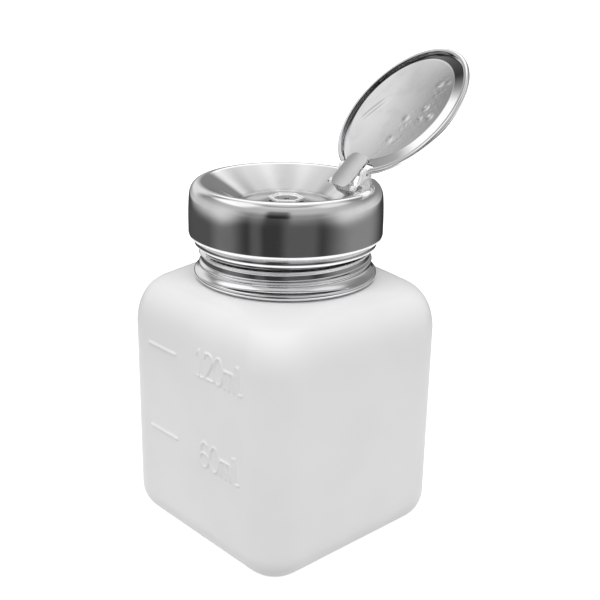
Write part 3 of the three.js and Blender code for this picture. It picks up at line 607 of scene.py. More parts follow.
def square_reach(half, corner, angle):
    """Distance from the axis to a square with rounded corners, in a direction. With u and v the direction's
    |cosine| and |sine|, it is half / max(u, v) on a flat side. In a corner it is the far crossing with the
    corner's circle, whose centre is k = half - corner along both axes:
    k (u + v) + sqrt(k^2 (u + v)^2 - 2 k^2 + corner^2)."""
    u, v = np.abs(np.cos(angle)), np.abs(np.sin(angle))
    larger, smaller = np.maximum(u, v), np.minimum(u, v)
    k = half - corner
    flat = half / larger
    root = np.sqrt(np.maximum(k**2 * (u + v) ** 2 - 2 * k**2 + corner**2, 0))
    return np.where(smaller * flat <= k, flat, k * (u + v) + root)


def shoulder_rows(height, inset, drop):
    """Half width at heights in the shoulder: a quarter ellipse that leans in by inset * (1 - cosine)."""
    angle = np.arcsin(np.clip((height - BODY.height + drop) / BODY.rise, 0, 1))
    return BODY.half - inset - BODY.inset * (1 - np.cos(angle))


def body_rows(inset, bottom, drop, heights):
    """Rows (half width, corner, height) up the base fillet, the side and the shoulder."""
    fillet, corner = BODY.fillet - inset, BODY.corner - inset
    angle = np.linspace(0, math.pi / 2, 11)
    drawn = fillet * (1 - np.sin(angle))
    base = np.stack([BODY.half - inset - drawn, corner - drawn, bottom + fillet * (1 - np.cos(angle))], -1)
    side = np.stack([shoulder_rows(heights, inset, drop), np.full(len(heights), corner), heights], -1)
    return np.concatenate([base, side])


def dome_rows(half, corner, height, radius, top, steps):
    """Rows over the dome: half width and corner go evenly to the radius, and the rise is 1 - (1 -
    share)^power."""
    share = np.linspace(0, 1, steps + 1)[1:]
    rise = 1 - (1 - share) ** BODY.dome_power
    return np.stack([mixed(half, radius, share), mixed(corner, radius, share), mixed(height, top, rise)], -1)


def round_rows(section):
    """Rows of a round part, whose corner is as large as its half width."""
    return section[:, [0, 0, 1]]


def thread_turn(height, angle):
    """Turns from the right-handed thread's crest, at a height and an angle."""
    return (height - THREAD.crest) / THREAD.pitch - angle / (2 * math.pi)


def thread_relief(height, angle):
    """The thread: a raised cosine of the turns, to a power, which runs out at the bottom and the top."""
    window = ramp(height, THREAD.bottom, THREAD.bottom + THREAD.run_out)
    window = window - ramp(height, THREAD.top - THREAD.run_out, THREAD.top)
    crest = (0.5 + 0.5 * np.cos(2 * math.pi * thread_turn(height, angle))) ** THREAD.power
    return window * THREAD.height * crest


def stroke_distance(x, z, strokes):
    """Least distance from each point to a set of stroke segments."""
    segments = np.array([[a, b] for run in strokes for a, b in zip(run[:-1], run[1:])], float)
    start, along = segments[:, 0], segments[:, 1] - segments[:, 0]
    points = np.stack([x, z], -1)[..., None, :] - start
    share = np.clip((points * along).sum(-1) / np.maximum((along**2).sum(-1), 1e-9), 0, 1)
    gap = points - share[..., None] * along
    return np.sqrt((gap**2).sum(-1)).min(-1)


def word_strokes(word, left, right, base, height):
    """Strokes of a word between two places across, on a base line."""
    widths = [FIGURES[figure][0] for figure in word]
    scale = (right - left) / (sum(widths) * height)
    runs = []
    place = left
    for figure, width in zip(word, widths):
        for run in FIGURES[figure][1]:
            runs.append([(place + u * height * scale, base + v * height) for u, v in run])
        place += width * height * scale
    return runs


def graduations(x, z, settings):
    """Relief of the two marks and their figures: full inside a stroke and falling smoothly to nothing past
    it."""
    g = GRADUATIONS
    marks = [[(place, level) for place in g.mark_ends] for level in g.marks]
    words = [run for word in g.words for run in word_strokes(*word, settings.letter_height / MM)]
    bars = 1 - ramp(stroke_distance(x, z, marks), *g.mark_edge)
    half_stroke = settings.stroke / MM / 2
    inner, outer = (half_stroke + reach for reach in g.stroke_edge)
    figures = 1 - ramp(stroke_distance(x, z, words), inner, outer)
    return settings.relief / MM * np.maximum(bars, figures)


def outside_rows():
    """Rows of the outside: base fillet, graduated side, shoulder, dome, neck and rounded mouth."""
    b, g = BODY, GRID
    low_zone, high_zone = (np.arange(*zone, g.step) for zone in g.zones)
    side = np.concatenate([np.linspace(*g.below), low_zone, np.linspace(*g.between), high_zone])
    shoulder = np.linspace(math.asin((g.above - b.height) / b.rise), b.sweep, 18)
    body = body_rows(0, 0, 0, np.concatenate([side, b.height + b.rise * np.sin(shoulder)]))
    dome = dome_rows(*body[-1], b.seat, b.dome_top, 14)
    neck = upright(b.neck, np.linspace(b.neck_bottom, b.neck_top - b.outer_lip, 41))
    outer = arc(b.neck - b.outer_lip, b.neck_top - b.outer_lip, b.outer_lip, 0, 90, 4)
    inner = arc(b.bore + b.inner_lip, b.neck_top - b.inner_lip, b.inner_lip, 90, 180, 4)
    return np.concatenate([body, dome, round_rows(np.concatenate([neck, outer, inner]))])


def inside_rows():
    """Rows of the inside, a wall within the outside: fillet, side, shoulder, dome and bore."""
    b = BODY
    shoulder = b.height - b.wall + b.rise * np.sin(np.linspace(0, b.sweep, 10))
    body = body_rows(b.wall, b.floor, b.wall, np.concatenate([np.linspace(*GRID.inside), shoulder]))
    dome = dome_rows(*body[-1], b.bore, b.dome_top - b.wall, 8)
    return np.concatenate([body, dome, [[b.bore, b.bore, b.inner_neck]]])


def bottle_angles():
    """Columns of equal angle about the axis, and finer ones with an equal step across the graduated
    side."""
    fine = np.arctan2(np.arange(GRID.left, GRID.right, GRID.step), BODY.half) - math.pi / 2
    plain = np.linspace(fine[-1], fine[0] + 2 * math.pi, GRID.plain_columns)[1:-1]
    return np.concatenate([fine, plain])[None, :]


def make_bottle(settings):
    """Bottle: rows of rounded squares from the middle of the hollow base up the outside and down the inside
    to the middle of the floor. The thread stands out of the neck, and the relief moves the graduated side
    out."""
    b = BODY
    outside, inside = outside_rows(), inside_rows()
    share = np.linspace(0, 1, 14)[:-1]
    hollow = b.hollow * (1 - ramp(outside[0, 0] * share, *b.hollow_edge))
    base = np.stack([outside[0, 0] * share, outside[0, 1] * share, hollow], -1)
    floor = np.stack([inside[0, 0] * share, inside[0, 1] * share, np.full(len(share), b.floor)], -1)
    rows = np.concatenate([base, outside, inside[::-1], floor[::-1]])
    half, corner, height = rows[:, :1], rows[:, 1:2], rows[:, 2:]
    row = np.arange(len(rows))[:, None]
    on_outside = (row >= len(base)) & (row < len(base) + len(outside))
    angle = bottle_angles()
    reach = square_reach(half, corner, angle) + np.where(on_outside, thread_relief(height, angle), 0)
    x, y = reach * np.cos(angle), reach * np.sin(angle)
    z = np.broadcast_to(height, x.shape)
    low, high = GRID.zones[0][0], GRID.zones[-1][1]
    raised = on_outside & (y < 0) & (x > GRID.left) & (x < GRID.right) & (z > low) & (z < high)
    y = y - np.where(raised, graduations(x, z, settings), 0)
    return new_piece("bottle_shell", np.stack([x, y, z], -1), grid_faces(*x.shape), "bottle",
                     "Milky plastic", ["bottle"], 50)


# Collar


def collar_section():
    """Closed section of the collar's sheet: bead, flared foot, side, shoulder and top, and a face at the
    sheet's thickness within them, along the normals."""
    c = COLLAR
    bead = arc(c.foot, (c.bottom + c.bead_top) / 2, c.bead, -80, 80, 8, (c.bead_top - c.bottom) / 2)
    lean = np.linspace(1, 0, 9)[1:]
    flare = np.stack([mixed(c.side, c.foot, lean**c.flare_power), mixed(c.flare_top, c.bead_top, lean)], -1)
    side = upright(c.side, np.linspace(c.flare_top, c.top - c.fillet, 90)[1:])
    shoulder = arc(c.side - c.fillet, c.top - c.fillet, c.fillet, 0, 90, 8)[1:]
    across = np.linspace(c.side - c.fillet, c.hole, 6)[1:]
    top = np.stack([across, np.full(len(across), c.top)], -1)
    outer = np.concatenate([bead, flare, side, shoulder, top])
    tangent = np.gradient(outer, axis=0)
    tangent /= np.linalg.norm(tangent, axis=1, keepdims=True)
    inner = outer + np.stack([-tangent[:, 1], tangent[:, 0]], -1) * c.sheet
    return np.concatenate([outer, inner[::-1], outer[:1]])


def make_collar():
    """Collar: its section spun about the axis, with the side moved out by the rib's shape. The rib climbs
    with the thread: it is a raised cosine of the distance from its crest, with plain lands between its
    turns, and it fades out above the flare and below the shoulder."""
    c = COLLAR
    section = collar_section()
    angle = np.linspace(0, 2 * math.pi, 288, endpoint=False)[None, :]
    radius, height = section[:, :1], section[:, 1:]
    shoulder = c.top - c.fillet
    above_flare = ramp(height, c.flare_top - c.fade_in, c.flare_top)
    window = above_flare * (1 - ramp(height, shoulder - c.fade_out, shoulder))
    from_crest = np.abs(np.mod(thread_turn(height, angle) + 0.5, 1) - 0.5) * THREAD.pitch
    rib = 0.5 + 0.5 * np.cos(math.pi * np.clip(from_crest / c.rib_half, 0, 1))
    points = about_axis(radius + window * (c.rib - c.side) * rib, angle, height)
    return new_piece("rolled_collar", points, grid_faces(*points.shape[:2]), "collar",
                     "Collar metal", ["screw_collar"], 50)


# Head


def rounded_step(share, foot, brow):
    """Rise from 0 to 1 over a share from 0 to 1: an even slope between a parabola at the foot and one at
    the brow, which meet it smoothly. The slope is 1 / (1 - foot / 2 - brow / 2)."""
    share = np.clip(share, 0, 1)
    slope = 1 / (1 - foot / 2 - brow / 2)
    rise = slope * (share - foot / 2)
    rise = np.where(share < foot, slope * share**2 / (2 * foot), rise)
    return np.where(share > 1 - brow, 1 - slope * (1 - share) ** 2 / (2 * brow), rise)


def dish_height(radius):
    """Height of the dish's face: a rounded step up its wall to the crest, and a low smooth mound in its
    middle."""
    h = HEAD
    up_wall = (radius - h.dish_radius) / (h.crest_radius - h.dish_radius)
    wall = rounded_step(up_wall, h.foot_share, h.brow_share)
    mound = 1 - ramp(radius, h.mound_radius, h.dish_radius)
    return h.floor + (h.crest - h.floor) * wall + (h.mound - h.floor) * mound


def make_head(settings):
    """Head stamping: the outer face of the drum's lip, corner, side and rim and of the dish, with the
    hinge's notch, given a sheet's thickness behind it. The drum leans in above a height, by a parabola that
    is largest at its outer radius."""
    h = HEAD
    lip = arc(h.lip, (h.bottom + h.lip_top) / 2, h.lip_round, -80, 80, 8, (h.lip_top - h.bottom) / 2)
    corner = arc(h.lip, h.corner_top, h.radius - h.lip, -82, 0, 14, h.corner_top - h.lip_top)
    side = upright(h.radius, np.linspace(h.first_row, HEAD_NOTCH.sill, 7))
    sill_row = len(lip) + len(corner) + len(side) - 1
    upper_side = upright(h.radius, h.side_rows)
    width, height = h.radius - h.crest_radius, h.crest - h.side_top
    rim = full_arc(h.crest_radius, h.side_top, width, height, h.rim_power, 26)
    outside = np.concatenate([lip, corner, side, upper_side, rim])
    radius, height = outside.T
    lean = np.maximum((height - h.lean_bottom) / (h.side_top - h.lean_bottom), 0) ** 2
    outside[:, 0] -= h.lean * lean * (radius - h.crest_radius) / (h.radius - h.crest_radius)
    corner_radius = notch_corner(HEAD_NOTCH)
    to_corner = np.linspace(h.crest_radius, corner_radius, 15)[1:]
    corner_row = len(outside) + len(to_corner) - 1
    radius = np.concatenate([to_corner, np.linspace(corner_radius, h.mound_radius, 34)[1:],
                             np.linspace(h.mound_radius, h.hole, 4)[1:]])
    profile = np.concatenate([outside, np.stack([radius, dish_height(radius)], -1)])
    points, faces = notched(profile, corner_row, sill_row, HEAD_NOTCH)
    head = new_piece("head_stamping", in_head(points), faces, "head", "Drum metal",
                     ["head_shell"], 50)
    return bevelled(thickened(head, settings.head_sheet / MM), h.easing)


def outlet_section():
    """Section of the outlet and each point's share of the hexagon: none for the neck and the port, whole
    for the brim, and growing over the brim's floor."""
    o = OUTLET
    pocket = [(o.pocket, o.pocket_top), (o.pocket, o.neck_bottom)]
    neck = [*pocket, (o.neck, o.neck_bottom), (o.neck, o.brim_bottom)]
    lower = arc(o.brim - o.lower_round, o.brim_bottom + o.lower_round, o.lower_round, -90, 0, 2)
    upper = arc(o.brim - o.upper_round, o.brim_top - o.upper_round, o.upper_round, 0, 180, 6)
    inner = o.brim - 2 * o.upper_round
    foot = arc(inner - o.foot_round, o.floor + o.foot_round, o.foot_round, 0, -90, 3)[1:]
    floor = [(mixed(o.port, inner, 0.5), o.floor), (o.port + 2 * o.port_round, o.floor)]
    port = arc(o.port + o.port_round, o.floor - o.port_round, o.port_round, 90, 180, 2)
    port = np.concatenate([port, [(o.port, o.pocket_top)]])
    section = np.concatenate([neck, lower, upper, foot, floor, port])
    brim = len(lower) + len(upper) + len(foot)
    share = np.concatenate([np.zeros(len(neck)), np.ones(brim), [0.3, 0], np.zeros(len(port))])
    return section, share[:, None]


def make_nozzle():
    """Outlet: rows of a hexagon's outline that turns into a circle. A row's reach at an angle is its
    apothem times 1 + share * (1 / cosine - 1), with the angle taken from the middle of the nearest flat and
    the corners a little blunted."""
    section, share = outlet_section()
    angle = np.linspace(0, 2 * math.pi, 144, endpoint=False)[None, :]
    from_flat = np.mod(angle, math.pi / 3) - math.pi / 6
    sharpness = (1 / np.cos(from_flat) - 1) * (1 - OUTLET.bluntness * smooth(np.abs(from_flat) * 6 / math.pi))
    points = about_axis(section[:, :1] * (1 + share * sharpness), angle, section[:, 1:])
    points = np.concatenate([points, points[:1]])
    return new_piece("hexagonal_outlet", in_head(points), grid_faces(*points.shape[:2]), "head",
                     "Outlet metal", ["outlet_nozzle"], 50)


# Hinge


def cheek_outline():
    """Outline of a cheek in the (y, z) plane: the block's side, with rounded upper corners, and the ear
    round the pin on a small step."""
    b, y, z, ear = BRACKET, HINGE.y, HINGE.z, HINGE.ear
    back = [(b.back - across, b.top - down) for across, down in b.back_corner]
    front = [(b.front + across, b.top - down) for across, down in b.front_corner]
    back_foot = [(y + ear + reach, b.top + rise) for reach, rise in zip(b.back_foot, b.step)]
    front_foot = [(y - ear - reach, b.top + rise) for reach, rise in zip(b.front_foot, b.step)][::-1]
    base = [(b.front, b.bottom), (b.back, b.bottom)]
    return np.concatenate([base, back, back_foot, arc(y, z, ear, 0, 180, 20), front_foot, front])


def make_bracket():
    """Hinge block: a channel of two cheeks, each a bar of the cheek's outline, and a floor between them
    below the tail's path."""
    b, h = BRACKET, HINGE
    half = h.width / 2
    cheek = cheek_outline()
    parts = [lofted(cheek, bar_stations(left, left + h.ear_width, h.ear_ease), [h.y - b.shift, b.middle])
             for left in (-half, half - h.ear_width)]
    floor = [[b.front, b.bottom], [b.back, b.bottom], [b.back, b.floor], [b.front, b.floor]]
    inner = half - h.ear_width + b.overlap
    middle = [(b.front + b.back) / 2, b.floor_middle]
    parts.append(lofted(floor, bar_stations(-inner, inner, b.floor_ease), middle))
    points, faces = merged(parts)
    return new_piece("hinge_block", in_head(points), faces, "head", "White plastic",
                     ["hinge_bracket"], 40)


def make_pin():
    """Hinge pin: a round bar along X with domed ends."""
    circle = arc(HINGE.y, HINGE.z, HINGE.pin, 0, 360, 32)[:-1]
    half = HINGE.width / 2
    points, faces = lofted(circle, bar_stations(-half, half, HINGE.pin_ease), [HINGE.y, HINGE.z])
    return new_piece("hinge_rod", in_head(points), faces, "head", "Plain steel",
                     ["hinge_pin"], 40)


def make_leaf():
    """Hinge leaf: a strip that runs from under the cover, past the pin, to the tail's rounded end, and the
    barrel round the pin on top of it. The strip's width narrows to the ends along a quarter circle, and it
    is bowed across by a parabola."""
    h, f = HINGE, LEAF
    ends = f.round * (1 - np.cos(np.linspace(0, math.pi / 2, 9)))
    inset = f.round + f.row_step
    middle = np.linspace(f.start + inset, f.end - inset, 14)
    along = np.concatenate([f.start + ends, middle, (f.end - ends)[::-1]])
    from_end = np.clip(np.minimum(along - f.start, f.end - along) / f.round, 0, 1)
    half = f.width / 2 - f.round * (1 - np.sqrt(1 - (1 - from_end) ** 2))
    across = np.linspace(-1, 1, 17)[None, :] * half[:, None]
    height = f.bottom + f.bow * (1 - (across / (f.width / 2)) ** 2)
    points = np.stack(np.broadcast_arrays(across, along[:, None], height), -1)
    strip = new_piece("hinge_leaf", in_lid(points), grid_faces(*across.shape, closed=False)[..., ::-1], "lid",
                      "Worn metal", ["lid_leaf"], 40)
    bevelled(thickened(strip, f.top - f.bottom), f.easing, 3)
    circle = arc(h.y, h.z, h.barrel, 0, 360, 40)[:-1]
    points, faces = lofted(circle, bar_stations(-f.width / 2, f.width / 2, h.barrel_ease), [h.y, h.z])
    barrel = new_piece("hinge_barrel", in_lid(points), faces, "lid", "Polished metal",
                       ["lid_leaf"], 40)
    return strip, barrel


# Lid


def make_lid_cover(settings):
    """Lid cover: the outer face of a low dome and its hem, which rolls in under the edge, with the notch
    for the hinge, given a sheet's thickness inside."""
    c = LID
    corner_radius = notch_corner(LID_NOTCH)
    edge = [(c.hem_edge, c.bottom), ((c.hem_edge + c.hem_centre) / 2, c.bottom)]
    hem = arc(c.hem_centre, c.bottom + c.hem, c.hem, -90, 90, 16)
    to_corner = np.linspace(c.hem_centre, corner_radius, 6)[1:]
    radius = np.concatenate([to_corner, np.linspace(corner_radius, 0, 36)[1:]])
    dome = np.stack([radius, mixed(c.centre, c.edge, (radius / c.hem_centre) ** 2)], -1)
    profile = np.concatenate([edge, hem, dome])
    corner_row = len(edge) + len(hem) + len(to_corner) - 1
    points, faces = notched(profile, corner_row, 0, LID_NOTCH, 200, 14)
    cover = new_piece("lid_dome", in_lid(points), faces, "lid", "Polished metal",
                      ["lid_cover"], 50)
    return bevelled(thickened(cover, settings.lid_sheet / MM), c.easing)


def wave(x, y, rates):
    """Sine wave across the pan: sin(a x + b y + phase)."""
    a, b, phase = rates
    return np.sin(a * x + b * y + phase)


def pan_relief(x, y):
    """Relief of the pan's face, upwards: a few soft dents, each a Gaussian well, two fine creases side by
    side, and a hammered patch at one side, which is a sum of crossed sine waves."""
    dents = sum(depth * np.exp(-((x - u) ** 2 + (y - v) ** 2) / wide**2) for u, v, wide, depth in DENTS)
    c = CREASE
    ahead, aside = c.direction
    along = ahead * (x - c.x) + aside * (y - c.y)
    across = -aside * (x - c.x) + ahead * (y - c.y)
    second = across + c.apart - c.bend * (along - c.middle) ** 2
    crease = c.height * (np.exp(-((across / c.width) ** 2)) + np.exp(-((second / c.width) ** 2)))
    crease = crease * ramp(along, *c.fade_in) * (1 - ramp(along, *c.fade_out))
    waves = sum(wave(x, y, rates) for rates in HAMMERING.waves)
    first, second = (wave(x, y, rates) for rates in HAMMERING.patches)
    patchy = 0.5 + 0.5 * first * second
    hammered = HAMMERING.height * patchy * waves * ramp(x + 0.3 * np.abs(y + 3), *HAMMERING.edge)
    return dents + crease + hammered


def mark_painted_shade(pan):
    """Keeps in an attribute where painted shade darkens the flange: past the face's edge, and most on one
    side.
    """
    place = np.empty(3 * len(pan.data.vertices))
    pan.data.vertices.foreach_get("co", place)
    base, tip = in_lid([[0, 0, 0], [0, 0, 1]])
    from_base = place.reshape(-1, 3) / MM - base
    radius = np.linalg.norm(np.cross(from_base, tip - base), axis=1)
    facing = from_base @ (in_lid(PAN.grime_side) - base) / np.maximum(radius, 1)
    low, high = PAN.grime_edge
    painted_shade = ramp(radius, PAN.radius + low, PAN.radius + high) * ramp(facing, -PAN.grime_turn, PAN.grime_turn)
    pan.data.attributes.new("painted_shade", "FLOAT", "POINT").data.foreach_set("value", painted_shade)


def make_lid_plug(settings):
    """Lid plug: the lower face of the pressed pan, crowned along a parabola, with a conical flange round it
    that runs out under the hem."""
    p = PAN
    corner_radius = notch_corner(LID_NOTCH)
    radius = np.linspace(0, p.radius, 46)
    face = np.stack([radius, p.face + p.crown * (radius / p.radius) ** 2], -1)
    first_rows = [p.radius + row for row in p.edge_rows]
    to_corner = np.concatenate([first_rows, np.linspace(p.radius + p.first_row, corner_radius, 7)])
    corner_row = len(face) + len(to_corner) - 1
    radius = np.concatenate([to_corner, np.linspace(corner_radius, p.rim, 5)[1:]])
    share = (radius - p.radius) / (p.rim - p.radius)
    flange = np.stack([radius, mixed(p.face + p.crown, p.rim_height, share)], -1)
    profile = np.concatenate([face, flange])
    points, faces = notched(profile, corner_row, len(profile) - 1, LID_NOTCH, 220, 14)
    x, y = points[..., 0], points[..., 1]
    points[..., 2] += pan_relief(x, y) * (1 - ramp(np.hypot(x, y), *p.relief_edge))
    pan = new_piece("lid_pan", in_lid(points), faces, "lid", "Pan metal", ["lid_plug"], 50)
    # Painted shade: the flange darkens past the face's edge, most on one side.
    mark_painted_shade(pan)
    return bevelled(thickened(pan, settings.lid_sheet / MM), LID.easing)


# Inner pieces, whose CAD nodes stay

KEPT_FINISHES = {
    "neck_gasket": "Foam ring", "pump_housing": "White plastic", "guide_cap": "White plastic",
    "ball_retainer": "White plastic", "dip_tube": "Tube plastic", "inlet_ball": "Plain steel",
    "return_spring": "Plain steel", "pump_stem": "White plastic", "piston": "White plastic",
    "head_insert": "White plastic", "outlet_ball": "Plain steel",
}


def finish_kept_nodes():
    """Finish of each CAD node that stays."""
    for node, finish in KEPT_FINISHES.items():
        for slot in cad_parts[node].material_slots:
            slot.material = finishes()[finish]


# Stage


def stage_piece(name, points, faces, material):
    """Stage mesh in millimetres."""
    mesh = bpy.data.meshes.new(name)
    points = np.asarray(points, float).reshape(-1, 3) * MM
    mesh.from_pydata(points.tolist(), [], np.asarray(faces).reshape(-1, 4).tolist())
    mesh.materials.append(material)
    card = bpy.data.objects.new(name, mesh)
    bpy.context.scene.collection.objects.link(card)
    return card


def bare_material(name):
    """Material with an empty node tree."""
    material = bpy.data.materials.new(name)
    material.use_nodes = True
    material.node_tree.nodes.clear()
    return material


def seen_rays(tree):
    """1 for the rays of the eye, of reflections and of what is seen through the piece, and 0 for all
    others."""
    path = tree.nodes.new("ShaderNodeLightPath")
    seen = add_math(tree, "MAXIMUM", path.outputs["Is Camera Ray"], path.outputs["Is Glossy Ray"])
    return add_math(tree, "MAXIMUM", seen, path.outputs["Is Transmission Ray"])


def glowing_card(name, points, glow):
    """Card that only reflections see, whose glow is given for each point of its grid."""
    material = bare_material(name)
    tree = material.node_tree
    level = tree.nodes.new("ShaderNodeAttribute")
    level.attribute_name = "glow"
    light = tree.nodes.new("ShaderNodeEmission")
    tree.links.new(level.outputs["Fac"], light.inputs["Strength"])
    end = tree.nodes.new("ShaderNodeOutputMaterial")
    tree.links.new(light.outputs["Emission"], end.inputs["Surface"])
    card = stage_piece(name, points, grid_faces(*glow.shape, closed=False), material)
    card.data.attributes.new("glow", "FLOAT", "POINT").data.foreach_set("value", glow.ravel())
    card.visible_camera = False
    card.visible_diffuse = False
    card.visible_transmission = False
    card.visible_volume_scatter = False
    card.visible_shadow = False
    return card


def soft_panel(azimuth, middle, width, edge, glow=1):
    """A glow across a panel, falling smoothly to 0 over its edge."""
    away = np.abs(np.mod(azimuth - middle + 180, 360) - 180)
    return glow * (1 - smooth((away - width / 2) / edge))


def panels_glow(azimuth, panels):
    """Sum of several panels."""
    return sum(soft_panel(azimuth, *panel) for panel in panels)


def fades(elevation, card):
    """1 between two elevations, rising smoothly to the first and falling from the second."""
    return ramp(elevation, *card.fade_in) * (1 - ramp(elevation, *card.fade_out))


def card_share(azimuth, elevation, card):
    """Where a card of the tent stands."""
    return soft_panel(azimuth, *card.panel) * fades(elevation, card)


def tent_glow(azimuth, elevation, foot):
    """Tent above the horizon, from a level at its foot: a middling grey in front with the camera's dark
    shape in it, a darker grey behind, a pale grey overhead that dips in front, and four cards."""
    t = TENT
    front = soft_panel(azimuth, *t.front)
    tent = mixed(foot, t.back_level + t.front_gain * front, ramp(elevation, *t.wall))
    tent = mixed(tent, t.overhead, ramp(elevation, *t.overhead_rise))
    tent = tent * (1 - t.dip * front * ramp(elevation, *t.dip_in) * (1 - ramp(elevation, *t.dip_out)))
    lens = soft_panel(azimuth, *LENS.panel) * (1 - ramp(elevation, *LENS.fade_out))
    tent = tent * (1 - LENS.tent_shade * lens)
    widening = ramp(elevation, *FAR_CARD.widening)
    width = FAR_CARD.width + FAR_CARD.more_width * widening
    edge = FAR_CARD.edge + FAR_CARD.more_edge * widening
    far = soft_panel(azimuth, FAR_CARD.middle, width, edge) * fades(elevation, FAR_CARD)
    left = card_share(azimuth, elevation, LEFT_CARD)
    tent = mixed(tent, FAR_CARD.glow, far)
    tent = mixed(tent, LEFT_CARD.glow, left)
    tent = mixed(tent, RIGHT_CARD.glow, card_share(azimuth, elevation, RIGHT_CARD))
    back = card_share(azimuth, elevation, BACK_CARD) * (1 - far) * (1 - left)
    return mixed(tent, BACK_CARD.glow, back)


def make_cards(settings):
    """Reflected surround: an upright ring low down about the object, as white as the floor at its foot, and
    above it a tent on a sphere about the head. The ring is dark with a few soft upright panels, and the
    light at the tent's foot shows on its upper part too."""
    azimuth = np.linspace(-180, 180, 241)[None, :]
    turn = np.radians(azimuth - 90) + CAMERA.turn
    side = panels_glow(azimuth, SIDES.panels)
    low = settings.ring_level + panels_glow(azimuth, RING.panels)
    glow = (SIDES.level + SIDES.glow * side) * (1 - LENS.ring_shade * soft_panel(azimuth, *LENS.panel))
    height = np.array(RING.heights)[:, None]
    rise = ramp(height + RING.side_drop * side, *RING.glow_height)
    ring = mixed(1, low, ramp(height, *RING.white)) + glow * rise
    glowing_card("ring_card", about_axis(RING.radius, turn, height), ring)
    elevation = np.arange(TENT.lowest, 91)[:, None]
    across, up = np.cos(np.radians(elevation)), np.sin(np.radians(elevation))
    points = about_axis(TENT.radius * across, turn, TENT.centre + TENT.radius * up)
    glowing_card("tent_card", points, tent_glow(azimuth, elevation, low + glow))


def make_floor(settings):
    """White floor that keeps a faint shadow: a diffuse sheet, with a glow for the eye and for
    reflections."""
    material = bare_material("White floor")
    tree = material.node_tree
    sheet = tree.nodes.new("ShaderNodeBsdfDiffuse")
    sheet.inputs["Color"].default_value = [*settings.floor_colour, 1.0]
    glow = tree.nodes.new("ShaderNodeEmission")
    glow.inputs["Strength"].default_value = settings.floor_glow
    lit = tree.nodes.new("ShaderNodeAddShader")
    tree.links.new(sheet.outputs["BSDF"], lit.inputs[0])
    tree.links.new(glow.outputs["Emission"], lit.inputs[1])
    choice = tree.nodes.new("ShaderNodeMixShader")
    tree.links.new(seen_rays(tree), choice.inputs["Fac"])
    tree.links.new(sheet.outputs["BSDF"], choice.inputs[1])
    tree.links.new(lit.outputs["Shader"], choice.inputs[2])
    end = tree.nodes.new("ShaderNodeOutputMaterial")
    tree.links.new(choice.outputs["Shader"], end.inputs["Surface"])
    reach, height = FLOOR.reach, FLOOR.height
    corners = [(x * reach, y * reach, height) for x, y in ((-1, -1), (1, -1), (1, 1), (-1, 1))]
    return stage_piece("floor", corners, [[0, 1, 2, 3]], material)


def make_world(settings):
    """Even white surround: its full white is for the eye, reflections and what is seen through the
    piece."""
    world = bpy.data.worlds.new("Studio")
    bpy.context.scene.world = world
    world.use_nodes = True
    tree = world.node_tree
    tree.nodes.clear()
    glow = tree.nodes.new("ShaderNodeBackground")
    level = add_range(tree, seen_rays(tree), 0.0, 1.0, settings.fill, 1.0, "LINEAR")
    tree.links.new(level, glow.inputs["Strength"])
    end = tree.nodes.new("ShaderNodeOutputWorld")
    tree.links.new(glow.outputs["Background"], end.inputs["Surface"])


def aimed(turn, elevation):
    """Rotation of a lamp or camera that looks at the object from a turn about Z and an elevation."""
    return Matrix.Rotation(turn, 4, "Z") @ Matrix.Rotation(math.pi / 2 - elevation, 4, "X")


def make_lamp(name, turn, elevation, strength):
    """Soft far lamp at a turn from the camera's direction, which lights matt surfaces only."""
    data = bpy.data.lights.new(name, "SUN")
    data.angle = LAMPS.size
    data.energy = strength
    lamp = bpy.data.objects.new(name, data)
    lamp.matrix_world = aimed(CAMERA.turn + turn, elevation)
    lamp.visible_glossy = False
    bpy.context.scene.collection.objects.link(lamp)
    return lamp


def make_camera(settings):
    """Camera at the photograph's place and angle."""
    data = bpy.data.cameras.new("camera")
    data.lens = settings.focal_length
    data.sensor_width = CAMERA.sensor
    data.clip_start = CAMERA.near
    camera = bpy.data.objects.new("camera", data)
    turned = aimed(CAMERA.turn, CAMERA.fall) @ Matrix.Rotation(CAMERA.roll, 4, "Z")
    camera.matrix_world = Matrix.Translation(CAMERA.place) @ turned
    bpy.context.scene.collection.objects.link(camera)
    bpy.context.scene.camera = camera
    bpy.context.scene.view_settings.view_transform = "Standard"


# Add-on


class PumpBottlePlastic(bpy.types.PropertyGroup):
    """Bottle and its graduations."""

    colour: bpy.props.FloatVectorProperty(
        name="Colour", description="Colour of the bottle's plastic", subtype="COLOR", size=3, min=0, max=1,
        default=(0.86, 0.86, 0.865))
    roughness: bpy.props.FloatProperty(
        name="Roughness", description="Roughness of the bottle's plastic", subtype="FACTOR", min=0.1, max=0.9,
        default=0.38)
    relief: bpy.props.FloatProperty(
        name="Relief", description="How far the graduations stand out", unit="LENGTH", min=0, max=0.0006,
        precision=5, default=0.00035)
    letter_height: bpy.props.FloatProperty(
        name="Figure height", description="Height of the raised figures", unit="LENGTH", min=0.003, max=0.008,
        precision=4, default=0.0064)
    stroke: bpy.props.FloatProperty(
        name="Stroke", description="Width of the raised strokes", unit="LENGTH", min=0.0003, max=0.0015,
        precision=5, default=0.00055)


class PumpBottleMetal(bpy.types.PropertyGroup):
    """Collar, head and lid."""

    colour: bpy.props.FloatVectorProperty(
        name="Colour", description="Colour of the polished metal", subtype="COLOR", size=3, min=0, max=1,
        default=(0.8, 0.8, 0.81))
    roughness: bpy.props.FloatProperty(
        name="Roughness", description="Roughness of the cleanest polish", subtype="FACTOR", min=0.01, max=0.5,
        default=0.07)
    head_sheet: bpy.props.FloatProperty(
        name="Head sheet", description="Thickness of the head's sheet", unit="LENGTH", min=0.0003, max=0.0006,
        precision=5, default=0.0005)
    lid_sheet: bpy.props.FloatProperty(
        name="Lid sheet", description="Thickness of the lid's two sheets", unit="LENGTH", min=0.0002,
        max=0.0005, precision=5, default=0.0004)


